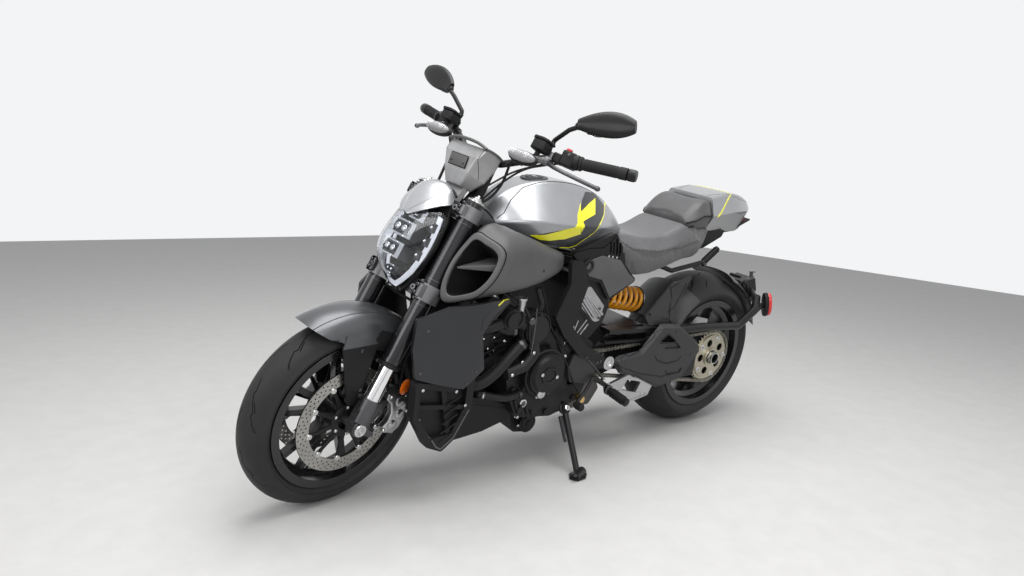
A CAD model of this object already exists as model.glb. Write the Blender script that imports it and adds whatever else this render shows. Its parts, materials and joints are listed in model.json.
import json
import math
import bpy
import bmesh
from mathutils import Matrix, Vector
from mathutils.bvhtree import BVHTree


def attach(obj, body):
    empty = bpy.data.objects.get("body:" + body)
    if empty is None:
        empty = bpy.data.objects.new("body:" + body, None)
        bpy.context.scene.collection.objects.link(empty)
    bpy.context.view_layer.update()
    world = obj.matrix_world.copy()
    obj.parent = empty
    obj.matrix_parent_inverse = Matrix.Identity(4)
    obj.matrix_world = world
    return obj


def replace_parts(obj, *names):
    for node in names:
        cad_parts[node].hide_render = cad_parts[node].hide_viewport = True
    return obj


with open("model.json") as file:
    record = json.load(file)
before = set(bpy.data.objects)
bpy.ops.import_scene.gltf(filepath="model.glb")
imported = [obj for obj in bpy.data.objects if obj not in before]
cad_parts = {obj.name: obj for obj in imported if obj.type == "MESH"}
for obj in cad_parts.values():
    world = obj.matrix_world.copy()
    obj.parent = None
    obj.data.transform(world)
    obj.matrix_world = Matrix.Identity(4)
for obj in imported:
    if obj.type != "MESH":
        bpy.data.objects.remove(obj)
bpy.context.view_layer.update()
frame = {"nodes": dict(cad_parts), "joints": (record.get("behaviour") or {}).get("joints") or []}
scene = bpy.context.scene
mm = Matrix.Scale(0.001, 4)


# ---- where things are: the machine's own axes, read from its joints ----
def jointOf(name):
    return next(j for j in frame["joints"] if j["name"] == name)


def axesFrame(x, y, z, origin):
    m = Matrix((x, y, z)).transposed().to_4x4()
    m.translation = origin
    return m


def bikeFrames(rake=26.0, rearRadius=0.324):
    steer = Vector(jointOf("steering")["axis"]).normalized()
    rearPoint = Vector(jointOf("rear_wheel_spin")["pos_m"])
    left = Vector(jointOf("rear_wheel_spin")["axis"]).normalized()
    ahead = left.cross(steer).normalized()
    c, s = math.cos(math.radians(rake)), math.sin(math.radians(rake))
    x, z = ahead * c - steer * s, ahead * s + steer * c
    bike = axesFrame(x, z.cross(x), z, rearPoint - z * rearRadius)
    forkLeft = Vector(jointOf("front_wheel_spin")["axis"]).normalized()
    forkPoint = Vector(jointOf("front_wheel_spin")["pos_m"])
    fork = axesFrame(forkLeft.cross(steer).normalized(), forkLeft, steer, forkPoint)
    rear = axesFrame(x, z.cross(x), z, rearPoint)
    return bike @ mm, fork @ mm, rear @ mm


onBike, onFork, onRearHub = bikeFrames()
spaceOf = {"frame": onBike, "side_stand": onBike, "fork": onFork, "front_wheel": onFork, "rear_wheel": onRearHub}


# ---- materials ----
def newMaterial(name, values):
    mat = bpy.data.materials.new(name)
    mat.use_nodes = True
    shader = mat.node_tree.nodes["Principled BSDF"]
    for key, value in values.items():
        shader.inputs[key].default_value = value
    return mat, mat.node_tree, shader


def link(tree, a, b):
    tree.links.new(a, b)


def addNode(tree, kind, **values):
    node = tree.nodes.new(kind)
    for key, value in values.items():
        if key in node.inputs:
            node.inputs[key].default_value = value
        else:
            setattr(node, key, value)
    return node


def noiseOn(tree, **values):
    cloud = addNode(tree, "ShaderNodeTexNoise", **values)
    link(tree, addNode(tree, "ShaderNodeTexCoord").outputs["Object"], cloud.inputs["Vector"])
    return cloud.outputs["Fac"]


def roughnessBy(tree, shader, source, low, high):
    rough = addNode(tree, "ShaderNodeMapRange", **{"To Min": low, "To Max": high})
    link(tree, source, rough.inputs["Value"])
    link(tree, rough.outputs["Result"], shader.inputs["Roughness"])


def colorBy(tree, shader, source, colors, stops=(0.0, 1.0)):
    tone = addNode(tree, "ShaderNodeValToRGB")
    for element, color, position in zip(tone.color_ramp.elements, colors, stops):
        element.position, element.color = position, (*color, 1)
    link(tree, source, tone.inputs["Fac"])
    link(tree, tone.outputs["Color"], shader.inputs["Base Color"])


def surfaceFinish(name, color, roughness=0.5, metallic=0.0, grain=900.0, bump=0.1, depth=0.0003,
                  mottle=0.12, spread=0.08, coat=0.0, coatRough=0.1, sheen=0.0, shine=0.5):
    mat, tree, shader = newMaterial(name, {"Metallic": metallic, "Coat Weight": coat, "Coat Roughness": coatRough,
                                           "Sheen Weight": sheen, "IOR": 1.5, "Specular IOR Level": shine})
    cloud = noiseOn(tree, Scale=11.0, Detail=5.0, Roughness=0.6)
    colorBy(tree, shader, cloud, [[min(1, c * (1 + turn)) for c in color] for turn in (-mottle, mottle)], (0.35, 0.68))
    roughnessBy(tree, shader, cloud, max(0.02, roughness - spread), min(1.0, roughness + spread))
    relief = addNode(tree, "ShaderNodeBump", Strength=bump, Distance=depth)
    link(tree, noiseOn(tree, Scale=grain, Detail=2.0), relief.inputs["Height"])
    link(tree, relief.outputs["Normal"], shader.inputs["Normal"])
    return mat


paint = dict(metallic=0.75, grain=2600, bump=0.06, mottle=0.04, spread=0.03)

finishes = {
    "graphitePaint": dict(paint, color=(0.34, 0.346, 0.357), roughness=0.29, coat=0.35, coatRough=0.28),
    "fenderPaint": dict(paint, color=(0.10, 0.103, 0.108), roughness=0.33, coat=0.3, coatRough=0.3),
    "tailPaint": dict(paint, color=(0.36, 0.365, 0.375), roughness=0.34, coat=0.35, coatRough=0.28),
    "visorPaint": dict(paint, color=(0.42, 0.426, 0.437), roughness=0.32, coat=0.35, coatRough=0.25),
    "cowlPaint": dict(paint, color=(0.034, 0.035, 0.039), roughness=0.34, metallic=0.7, coat=0.2, coatRough=0.3),
    "podPaint": dict(color=(0.36, 0.36, 0.363), roughness=0.38, metallic=0.6, grain=1500, bump=0.25),
    "darkField": dict(color=(0.035, 0.036, 0.038), roughness=0.42, metallic=0.3, grain=2600, bump=0.05, coat=0.2),
    "acidYellow": dict(color=(0.80, 0.76, 0.01), roughness=0.34, grain=2400, bump=0.04, coat=0.4, mottle=0.03),
    "seamBlack": dict(color=(0.004, 0.004, 0.004), shine=0.0, roughness=0.9, grain=1500, bump=0.05),
    "satinBlack": dict(color=(0.010, 0.010, 0.011), shine=0.22, roughness=0.36, grain=1800, bump=0.08, coat=0.1),
    "forkBlack": dict(color=(0.010, 0.010, 0.012), shine=0.35, roughness=0.22, metallic=0.2, grain=1800, bump=0.03,
                      coat=0.5,
                      coatRough=0.12),
    "castBlack": dict(color=(0.012, 0.012, 0.013), shine=0.22, roughness=0.42, grain=1300, bump=0.35, depth=0.0005,
                      mottle=0.25),
    "castGrey": dict(color=(0.16, 0.16, 0.165), roughness=0.42, metallic=0.7, grain=1100, bump=0.3, depth=0.0004),
    "coverSilver": dict(color=(0.42, 0.42, 0.43), roughness=0.36, metallic=0.9, grain=900, bump=0.2, mottle=0.1),
    "blackPlastic": dict(color=(0.011, 0.011, 0.012), shine=0.22, roughness=0.48, grain=1500, bump=0.3),
    "coverPlastic": dict(color=(0.034, 0.034, 0.036), shine=0.3, roughness=0.45, grain=1500, bump=0.3),
    "greyPlastic": dict(color=(0.082, 0.082, 0.083), roughness=0.44, grain=1500, bump=0.3),
    "hoseRubber": dict(color=(0.010, 0.010, 0.010), shine=0.3, roughness=0.5, grain=1200, bump=0.2),
    "gripRubber": dict(color=(0.012, 0.012, 0.012), shine=0.3, roughness=0.65, grain=1600, bump=0.4),
    "tyreRubber": dict(color=(0.018, 0.018, 0.018), shine=0.3, roughness=0.58, grain=900, bump=0.3, mottle=0.2),
    "seatVinyl": dict(color=(0.088, 0.088, 0.091), roughness=0.45, grain=520, bump=0.55, depth=0.0006, sheen=0.2,
                      mottle=0.08),
    "padVinyl": dict(color=(0.06, 0.06, 0.062), roughness=0.45, grain=520, bump=0.5, depth=0.0005, sheen=0.15),
    "thread": dict(color=(0.02, 0.02, 0.021), roughness=0.8, grain=3000, bump=0.5),
    "rimBlack": dict(color=(0.010, 0.010, 0.011), shine=0.3, roughness=0.24, grain=2000, bump=0.04, coat=0.5,
                     coatRough=0.15),
    "bareAlloy": dict(color=(0.50, 0.50, 0.51), roughness=0.3, metallic=0.95, grain=900, bump=0.12, mottle=0.08),
    "brightSteel": dict(color=(0.62, 0.62, 0.61), roughness=0.22, metallic=1.0, grain=900, bump=0.08, mottle=0.06),
    "darkSteel": dict(color=(0.10, 0.10, 0.105), roughness=0.34, metallic=0.9, grain=900, bump=0.15),
    "discSteel": dict(color=(0.40, 0.39, 0.37), roughness=0.3, metallic=1.0, grain=700, bump=0.1, mottle=0.14),
    "chrome": dict(color=(0.78, 0.78, 0.79), roughness=0.08, metallic=1.0, grain=700, bump=0.02, mottle=0.02,
                   spread=0.02),
    "springYellow": dict(color=(0.80, 0.33, 0.012), roughness=0.32, grain=1200, bump=0.03, coat=0.4, mottle=0.05),
    "goldAlloy": dict(color=(0.62, 0.42, 0.16), roughness=0.3, metallic=0.95, grain=900, bump=0.1),
    "chainSteel": dict(color=(0.22, 0.21, 0.18), roughness=0.4, metallic=0.9, grain=900, bump=0.3, mottle=0.3),
    "sprocketSteel": dict(color=(0.46, 0.43, 0.34), roughness=0.32, metallic=0.95, grain=900, bump=0.15, mottle=0.12),
    "exhaustSteel": dict(color=(0.11, 0.105, 0.10), roughness=0.35, metallic=0.85, grain=900, bump=0.15, mottle=0.2),
    "amber": dict(color=(0.85, 0.16, 0.01), roughness=0.18, grain=300, bump=0.5, depth=0.0008, coat=0.6, mottle=0.05),
    "redLens": dict(color=(0.62, 0.01, 0.01), roughness=0.16, grain=300, bump=0.5, depth=0.0008, coat=0.6, mottle=0.05),
    "redSwitch": dict(color=(0.65, 0.015, 0.02), roughness=0.35, grain=900, bump=0.1),
    "screenDark": dict(color=(0.010, 0.012, 0.016), roughness=0.12, grain=300, bump=0.01, coat=0.8, coatRough=0.05),
    "mirrorGlass": dict(color=(0.72, 0.74, 0.76), roughness=0.04, metallic=1.0, grain=100, bump=0.0, mottle=0.01,
                        spread=0.01),
    "radiatorFin": dict(color=(0.03, 0.03, 0.031), roughness=0.5, metallic=0.4, grain=600, bump=0.5),
}
materials = {name: surfaceFinish(name, **values) for name, values in finishes.items()}


def clearPlastic(name, tint, roughness=0.03, weight=1.0):
    # clear moulded lens, with a faint haze that varies over it
    mat, tree, shader = newMaterial(name, {"Base Color": (*tint, 1), "Transmission Weight": weight, "IOR": 1.46})
    haze = noiseOn(tree, Scale=30.0, Detail=3.0)
    roughnessBy(tree, shader, haze, max(0.0, roughness - 0.02), roughness + 0.02)
    return mat


def litPlastic(name, color, strength):
    # a light guide that glows softly, in two close tones
    mat, tree, shader = newMaterial(name, {"Roughness": 0.25, "Emission Color": (*color, 1),
                                           "Emission Strength": strength})
    colorBy(tree, shader, noiseOn(tree, Scale=60.0, Detail=2.0), ([c * 0.85 for c in color], color))
    return mat


materials["clearLens"] = clearPlastic("clearLens", (0.80, 0.82, 0.85))
materials["ribbedLens"] = clearPlastic("ribbedLens", (0.9, 0.9, 0.92), roughness=0.12, weight=0.7)
materials["lightGuide"] = litPlastic("lightGuide", (0.86, 0.87, 0.92), 0.55)
print("materials:", len(materials))

nodeFinish = {
    "graphitePaint": ["fuel_tank"],
    "cowlPaint": ["radiator_cowls"],
    "visorPaint": ["headlight_visor"],
    "tailPaint": ["tail_cowl"],
    "fenderPaint": ["front_fender"],
    "podPaint": ["instrument_pod"],
    "greyPlastic": ["intake_covers"],
    "coverPlastic": ["swingarm_covers"],
    "castGrey": ["triple_clamps"],
    "satinBlack": ["main_frame", "swingarm", "handlebar", "rear_subframe", "plate_carrier", "side_stand", "mirrors"],
    "exhaustSteel": ["exhaust"],
    "forkBlack": ["fork_outer_tubes"],
    "castBlack": ["engine_crankcase", "engine_cylinders", "engine_side_covers"],
    "blackPlastic": ["frame_plates", "belly_pan", "side_panels", "headlight_shell", "bar_controls"],
    "hoseRubber": ["coolant_circuit", "brake_hoses"],
    "gripRubber": ["grips"],
    "tyreRubber": ["front_tyre", "rear_tyre"],
    "seatVinyl": ["rider_seat", "seat_backrest"],
    "rimBlack": ["front_rim", "rear_rim"],
    "bareAlloy": ["front_axle", "front_calipers", "rear_caliper", "foot_controls"],
    "sprocketSteel": ["rear_sprocket"],
    "chrome": ["headlight_core"],
    "clearLens": ["headlight_lens"],
    "discSteel": ["front_discs", "rear_disc"],
    "springYellow": ["rear_shock"],
    "chainSteel": ["chain"],
    "radiatorFin": ["radiator"],
    "darkSteel": ["fork_lowers"],
}
for finish, names in nodeFinish.items():
    for name in names:
        piece = frame["nodes"][name]
        piece.data.materials.clear()
        piece.data.materials.append(materials[finish])


# ---- small helpers: every shape is drawn in millimetres in the machine's own axes ----
flipped = Matrix.Scale(-1, 4, (0, 1, 0))


def grab(*pieces):
    bpy.ops.object.select_all(action="DESELECT")
    for piece in pieces:
        piece.select_set(True)
    bpy.context.view_layer.objects.active = pieces[0]


def applied(piece, kind, **values):
    grab(piece)
    mod = piece.modifiers.new(kind.lower(), kind)
    for key, value in values.items():
        setattr(mod, key, value)
    bpy.ops.object.modifier_apply(modifier=mod.name)
    return piece


def edited(piece, work):
    grab(piece)
    bpy.ops.object.mode_set(mode="EDIT")
    bpy.ops.mesh.select_all(action="SELECT")
    work()
    bpy.ops.object.mode_set(mode="OBJECT")
    return piece


def outward(piece, merge=0.01):
    def work():
        bpy.ops.mesh.remove_doubles(threshold=merge)
        bpy.ops.mesh.normals_make_consistent(inside=False)
    return edited(piece, work)


def extruded(piece, shift):
    return outward(edited(piece, lambda: bpy.ops.mesh.extrude_region_move(TRANSFORM_OT_translate={"value": shift})))


def carved(piece, cutter, **values):
    applied(piece, "BOOLEAN", operation="DIFFERENCE", object=cutter, solver="EXACT", **values)
    bpy.data.objects.remove(cutter)
    return piece


def softEdges(piece, width, segments=2, angle=40):
    if not width:
        return piece
    return applied(piece, "BEVEL", width=width, segments=segments, limit_method="ANGLE",
                   angle_limit=math.radians(angle))


def joined(pieces):
    grab(*pieces)
    if len(pieces) > 1:
        bpy.ops.object.join()
    return bpy.context.object


def settled(piece):
    grab(piece)
    bpy.ops.object.transform_apply(location=True, rotation=True, scale=True)
    return piece


def copies(piece, matrices):
    # one modelled piece, repeated as own meshes and joined
    settled(piece)
    made = []
    for matrix in matrices:
        twin = piece.copy()
        twin.data = piece.data.copy()
        twin.data.transform(matrix)
        if matrix.determinant() < 0:
            twin.data.flip_normals()
        bpy.context.collection.objects.link(twin)
        made.append(twin)
    bpy.data.objects.remove(piece)
    return joined(made)


def mirrored(piece):
    return copies(piece, [Matrix.Identity(4), flipped])


def turns(count):
    return [Matrix.Rotation(2 * math.pi * n / count, 4, "Y") for n in range(count)]


def finished(piece, name, finish, body="frame", smooth=38):
    settled(piece)
    piece.data.transform(spaceOf[body])
    grab(piece)
    bpy.ops.object.shade_smooth_by_angle(angle=math.radians(smooth))
    piece.name = name
    piece.data.name = name
    if finish:
        piece.data.materials.clear()
        piece.data.materials.append(materials[finish])
    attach(piece, body)
    return piece


def objectOf(data):
    piece = bpy.data.objects.new("shape", data)
    bpy.context.collection.objects.link(piece)
    return piece


def meshOf(verts, faces, edges=()):
    data = bpy.data.meshes.new("shape")
    data.from_pydata([tuple(v) for v in verts], edges, faces)
    return objectOf(data)


def skinned(verts, size):
    # loops of equal size, one after the other, joined by quads and closed at both ends
    faces, last = [], len(verts) - size
    for a in range(0, last, size):
        faces += [(a + k, a + (k + 1) % size, a + size + (k + 1) % size, a + size + k) for k in range(size)]
    faces += [tuple(range(size)), tuple(range(last + size - 1, last - 1, -1))]
    return outward(meshOf(verts, faces), 0.001)


def barrel(start, end, radius, sides=24, edge=0.0):
    a, b = Vector(start), Vector(end)
    bpy.ops.mesh.primitive_cone_add(vertices=sides, radius1=radius, radius2=radius, depth=(b - a).length,
                                    location=(a + b) / 2, rotation=(b - a).to_track_quat("Z", "Y").to_euler())
    return softEdges(bpy.context.object, edge)


def block(size, at, edge=0.0, turn=(0, 0, 0), segments=2):
    bpy.ops.mesh.primitive_cube_add(size=1, location=at, rotation=[math.radians(t) for t in turn])
    piece = bpy.context.object
    piece.scale = size
    bpy.ops.object.transform_apply(location=False, rotation=False, scale=True)
    return softEdges(piece, edge, segments)


def ball(at, radius, stretch=(1, 1, 1), segments=20):
    bpy.ops.mesh.primitive_uv_sphere_add(segments=segments, ring_count=segments // 2, radius=radius, location=at)
    piece = bpy.context.object
    piece.scale = stretch
    return piece


def cut(points, low, high, edge=0.0, plane="XZ", segments=2):
    # a flat outline extruded between two depths: XZ is seen from the side, XY from above, YZ from ahead
    put = {"XZ": lambda u, v, w: (u, w, v), "XY": lambda u, v, w: (u, v, w), "YZ": lambda u, v, w: (w, u, v)}[plane]
    flat = meshOf([put(u, v, low) for u, v in points], [tuple(range(len(points)))])
    return softEdges(extruded(flat, put(0, 0, high - low)), edge, segments)


def ringPoints(radius, count, centre=(0, 0), start=0.0, stretch=1.0):
    angles = [math.radians(start) + 2 * math.pi * n / count for n in range(count)]
    return [(centre[0] + radius * math.cos(a), centre[1] + radius * stretch * math.sin(a)) for a in angles]


def lathe(profile, at=(0, 0, 0), axis=(0, 1, 0), steps=48, closed=None):
    # profile: (distance along the axis, radius), spun round the axis; it is closed unless it ends on the axis
    along, spot = Vector(axis).normalized(), Vector(at)
    out = along.orthogonal().normalized()
    edges = [(n, n + 1) for n in range(len(profile) - 1)]
    if profile[-1][1] > 0 if closed is None else closed:
        edges.append((len(profile) - 1, 0))
    piece = meshOf([spot + along * a + out * r for a, r in profile], [], edges)
    return outward(edited(piece, lambda: bpy.ops.mesh.spin(steps=steps, angle=2 * math.pi, center=spot, axis=along)))


def tube(points, radius, sides=5, flow=True):
    # a smooth hose or bent bar along a NURBS path, or a plain one through every point
    data = bpy.data.curves.new("path", "CURVE")
    data.dimensions = "3D"
    spline = data.splines.new("NURBS" if flow else "POLY")
    spline.points.add(len(points) - 1)
    for place, point in zip(spline.points, points):
        place.co = (*point, 1)
    if flow:
        spline.order_u, spline.use_endpoint_u, spline.resolution_u = 3, True, 5
    data.bevel_depth, data.bevel_resolution, data.use_fill_caps = radius, sides, True
    grab(objectOf(data))
    bpy.ops.object.convert(target="MESH")
    return outward(bpy.context.object)


def screws(places, radius=5.0, height=4.0):
    # places: (x, y, z, direction); a domed cap head with a hexagon socket
    profile = [(0, radius), (height * 0.7, radius), (height, radius * 0.72), (height, radius * 0.5),
               (height * 0.45, radius * 0.45), (height * 0.45, 0)]
    return joined([lathe(profile, (x, y, z), direction, 12) for x, y, z, direction in places])


def sideScrews(spots, y, radius=5.0, height=4.0):
    return screws([(x, y, z, (0, 1 if y > 0 else -1, 0)) for x, z in spots], radius, height)


def treeIn(pieces, space=onBike):
    back = space.inverted()
    verts, faces = [], []
    for piece in pieces:
        start = len(verts)
        verts += [back @ v.co for v in piece.data.vertices]
        faces += [tuple(start + i for i in p.vertices) for p in piece.data.polygons]
    return BVHTree.FromPolygons(verts, faces)


def surfaceOf(*names, space=onBike):
    return treeIn([frame["nodes"][name] for name in names], space)


def hit(tree, point, way):
    spot, normal, _, _ = tree.ray_cast(Vector(point) - Vector(way) * 400, Vector(way))
    if spot is None:
        spot, normal, _, _ = tree.find_nearest(Vector(point))
    if normal.dot(Vector(way)) > 0:
        normal = -normal
    return spot, normal


def boltsOn(tree, spots, y, radius, height, way=(0, -1, 0), lean=False, least=0):
    # cap screws where the surface is met along way at each (x, z), unless that is nearer the middle than least
    made = []
    for x, z, *depth in spots:
        spot, normal = hit(tree, (x, *(depth or [y]), z), way)
        if abs(spot.y) > least:
            made.append((*spot, normal if lean else tuple(-v for v in way)))
    return screws(made, radius, height)


def resampled(points, step):
    pts = [Vector(p) for p in points]
    out = [pts[0]]
    for a, b in zip(pts, pts[1:]):
        count = max(1, round((b - a).length / step))
        out += [a.lerp(b, n / count) for n in range(1, count + 1)]
    return out


def strip(tree, points, width, way, lift=0.5, step=7, taper=False):
    # a thin raised line that hugs the surface, seen along way
    rows = [hit(tree, point, way) for point in resampled(points, step)]
    verts, last = [], len(rows) - 1
    for n, (spot, normal) in enumerate(rows):
        ahead = rows[min(last, n + 1)][0] - rows[max(0, n - 1)][0]
        side = ahead.cross(normal).normalized()
        half = width / 2 * (0.15 + 0.85 * min(1, 4 * min(n, last - n) / last) if taper else 1)
        for across, height in ((-half, -0.6), (-half * 0.8, lift), (half * 0.8, lift), (half, -0.6)):
            verts.append(spot + side * across + normal * height)
    return skinned(verts, 4)


def patch(tree, outline, way, lift=0.45, step=9):
    # a thin coloured field that hugs the surface inside an outline
    made = bmesh.new()
    made.faces.new([made.verts.new(p) for p in resampled([*outline, outline[0]], step)[:-1]])
    bmesh.ops.triangulate(made, faces=made.faces[:])
    for _ in range(7):
        long = [e for e in made.edges if e.calc_length() > step * 1.5 and not e.is_boundary]
        if not long:
            break
        bmesh.ops.subdivide_edges(made, edges=long, cuts=1)
        bmesh.ops.triangulate(made, faces=made.faces[:])
        bmesh.ops.beautify_fill(made, faces=made.faces[:], edges=[e for e in made.edges if not e.is_boundary])
    for vert in made.verts:
        spot, normal = hit(tree, vert.co, way)
        vert.co = spot + normal * lift
    data = bpy.data.meshes.new("patch")
    made.to_mesh(data)
    made.free()
    piece = outward(objectOf(data), 0.001)
    away = sum((p.normal for p in piece.data.polygons), Vector())
    if away.dot(Vector(way)) > 0:
        piece.data.flip_normals()
    return applied(piece, "SOLIDIFY", thickness=lift + 0.5, offset=-1)


def worked(name):
    # a copy of a CAD node's mesh, merged, in millimetres, ready to be reshaped
    twin = frame["nodes"][name].copy()
    twin.data = frame["nodes"][name].data.copy()
    twin.parent = None
    twin.matrix_world = Matrix.Identity(4)
    for key in list(twin.keys()):
        del twin[key]
    bpy.context.collection.objects.link(twin)
    twin.data.transform(onBike.inverted())
    return outward(twin, 0.02)


def paintFaces(name, finish, space, chosen):
    # gives some of a CAD node's faces another finish, chosen by their place and normal
    piece = frame["nodes"][name]
    piece.data.materials.append(materials[finish])
    number = len(piece.data.materials) - 1
    back = space.inverted()
    turn = back.to_3x3().normalized()
    for face in piece.data.polygons:
        if chosen(back @ face.center, turn @ face.normal):
            face.material_index = number


# ---- tyres: a spun carcass with grooves cut all the way round ----
frontTyre = {"radius": 300.0, "section": 120.0, "drop": 44.0, "lip": 50.0, "segments": 9, "grooveWidth": 3.6,
             "grooveDepth": 4.2}
rearTyre = {"radius": 324.0, "section": 240.0, "drop": 58.0, "lip": 107.0, "segments": 9, "grooveWidth": 4.6,
            "grooveDepth": 4.6}
frontGrooves = [
    [(2, 7), (9, 14), (11, 11), (20, 30), (22, 27), (31, 44)],
    [(20, -8), (26, -15), (28, -12), (37, -32), (39, -28), (47, -46)],
    [(14, 22), (20, 36)], [(34, -20), (40, -36)], [(26, 33), (31, 47)], [(7, -30), (12, -45)],
]
rearGrooves = [
    [(1, 14), (9, 34), (11, 28), (21, 68), (23, 62), (30, 96)],
    [(21, -14), (29, -34), (31, -28), (41, -68), (43, -62), (50, -96)],
    [(16, 40), (25, 82)], [(36, -40), (45, -82)], [(4, 60), (10, 92)], [(24, -60), (30, -92)],
]
rimEdge, beadSeat = 231.0, 216.3


def crownAt(across, s):
    # radius of the tread's round crown at a distance from its middle
    half, drop = s["section"] / 2 - 3, s["drop"]
    bow = (half * half + drop * drop) / (2 * drop)
    return s["radius"] - bow + math.sqrt(max(0, bow * bow - across * across))


def tyreProfile(s):
    half, shoulder, lip = s["section"] / 2, s["radius"] - s["drop"], s["lip"]
    crown = [(a, crownAt(a, s)) for a in [(half - 3) * n / 9 for n in range(-9, 10)]]
    wall = [(half - 0.5 - (half + 2.5 - lip) * t ** 1.7, shoulder - (shoulder - rimEdge - 3) * t)
            for t in [n / 8 for n in range(1, 8)]]
    ridge = [(wall[2][0] + 1.2, wall[2][1] + 1.5), (wall[2][0] + 1.2, wall[2][1] - 1.5)]
    inner = half - 12
    right = wall[:2] + ridge + wall[3:] + [
        (lip - 4, rimEdge + 2), (lip - 8, rimEdge - 1), (lip - 8, beadSeat), (lip - 20, beadSeat),
        (lip - 22, rimEdge + 4), (inner, shoulder - 12), (inner - 14, shoulder + 2)]
    crownLine = [(a * 0.8, crownAt(a * 0.86, s) - 12) for a in [inner * n / 4 for n in range(3, -4, -1)]]
    return crown + right + crownLine + [(-a, r) for a, r in reversed(right)]


def grooveCutter(route, s):
    # route: (degrees round, distance across); a wedge that follows the crown
    def on(angle, across, lift):
        r = crownAt(across, s) + lift
        turn = math.radians(angle)
        return Vector((r * math.sin(turn), across, r * math.cos(turn)))
    path = []
    for (a0, c0), (a1, c1) in zip(route, route[1:]):
        count = max(1, round(math.hypot((a1 - a0) * 5, c1 - c0) / 9))
        path += [(a0 + (a1 - a0) * n / count, c0 + (c1 - c0) * n / count) for n in range(count)]
    path.append(route[-1])
    verts = []
    for n, (angle, across) in enumerate(path):
        before, after = path[max(0, n - 1)], path[min(len(path) - 1, n + 1)]
        ahead = (on(*after, 0) - on(*before, 0)).normalized()
        normal = on(angle, across, 1) - on(angle, across, 0)
        beside = ahead.cross(normal).normalized() * s["grooveWidth"] / 2
        beside *= 0.45 if n in (0, len(path) - 1) else 1
        top, floor = on(angle, across, 3), on(angle, across, -s["grooveDepth"])
        verts += [top + beside, top - beside, floor - beside * 0.6, floor + beside * 0.6]
    return skinned(verts, 4)


def makeTyre(name, s, grooves, body):
    pitch = 360 / s["segments"]
    cutters = [grooveCutter([(a + n * pitch, c) for a, c in route], s) for n in range(s["segments"])
               for route in grooves]
    ring = carved(lathe(tyreProfile(s), steps=108), joined(cutters), use_self=True)
    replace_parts(finished(ring, name, "tyreRubber", body, smooth=32), name.replace("Tread", ""))


makeTyre("front_tyreTread", frontTyre, frontGrooves, "front_wheel")
makeTyre("rear_tyreTread", rearTyre, rearGrooves, "rear_wheel")
print("tyres done")


# ---- front discs: drilled rings, carriers with bobbins ----
discSpec = {"outer": 165.0, "inner": 126.0, "thick": 5.0, "plane": 63.0, "sectors": 20, "bobbins": 10,
            "hole": 2.7, "holeRows": [(6, 0.05), (13.5, 0.3), (21, 0.05), (28.5, 0.3)]}


def discRing(s):
    # drawn flat with every hole, filled, then given its thickness
    pitch = 2 * math.pi / s["sectors"]
    loops = [ringPoints(s["outer"], 120), ringPoints(s["inner"], 80)]
    for inset, share in s["holeRows"]:
        radius = s["outer"] - inset
        for n in range(s["sectors"] * 2):
            turn = (n / 2 + share) * pitch
            loops.append(ringPoints(s["hole"], 8, (radius * math.cos(turn), radius * math.sin(turn))))
    made = bmesh.new()
    for loop in loops:
        ring = [made.verts.new((x, -s["thick"] / 2, z)) for x, z in loop]
        for a, b in zip(ring, ring[1:] + ring[:1]):
            made.edges.new((a, b))
    bmesh.ops.triangle_fill(made, use_beauty=True, edges=made.edges[:], normal=(0, -1, 0))
    data = bpy.data.meshes.new("disc")
    made.to_mesh(data)
    made.free()
    return extruded(objectOf(data), (0, s["thick"], 0))


atDiscs = [Matrix.Translation((0, side * discSpec["plane"], 0)) for side in (-1, 1)]
outerDiscs = [atDiscs[1], atDiscs[0] @ flipped]
finished(copies(discRing(discSpec), atDiscs), "frontDiscRings", "discSteel", "front_wheel", smooth=30)
carrierArm = [(36, -7), (60, -8), (104, -5), (121, -8), (127, -8), (127, 8), (121, 8), (104, 5), (60, 8), (36, 7)]
carrier = joined([
    copies(cut(carrierArm, -3, 3, edge=1.0), turns(discSpec["bobbins"])),
    lathe([(-4, 30.5), (4, 30.5), (4, 50), (2.5, 52), (-2.5, 52), (-4, 50)], steps=48),
    lathe([(-17, 30.5), (-3, 30.5), (-3, 43), (-17, 41)], steps=40),
])
carriers = finished(copies(carrier, outerDiscs), "frontDiscCarriers", "castBlack", "front_wheel")
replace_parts(carriers, "front_discs")
bobbin = joined([
    lathe([(-5.5, 4), (5.5, 4), (5.5, 8), (4.5, 9), (-4.5, 9), (-5.5, 8)], (124, 0, 0), steps=18),
    lathe([(-6.2, 0), (-6.2, 4.4), (6.2, 4.4), (6.2, 0)], (124, 0, 0), steps=14),
])
silver = joined([copies(bobbin, turns(discSpec["bobbins"])), sideScrews(ringPoints(44, 6), 3.5, 5.5, 4.5)])
finished(copies(silver, outerDiscs), "frontDiscBobbins", "brightSteel", "front_wheel")


# ---- rims: valves and hub seals ----
def valveAt(body, name, radius, across):
    stem = tube([(0, across, -radius + 4), (0, across + 3, -radius + 20), (0, across + 8, -radius + 34)], 3.2)
    cap = barrel((0, across + 7, -radius + 31), (0, across + 10, -radius + 44), 4.3, sides=12, edge=0.8)
    finished(joined([stem, cap]), name, "blackPlastic", body)


valveAt("front_wheel", "frontValve", 198, 10)
valveAt("rear_wheel", "rearValve", 195, -30)
hubSeal = lathe([(46, 17.5), (48.5, 17.5), (48.5, 27), (46, 29)], steps=40)
finished(mirrored(hubSeal), "frontHubSeals", "blackPlastic", "front_wheel")


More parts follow.
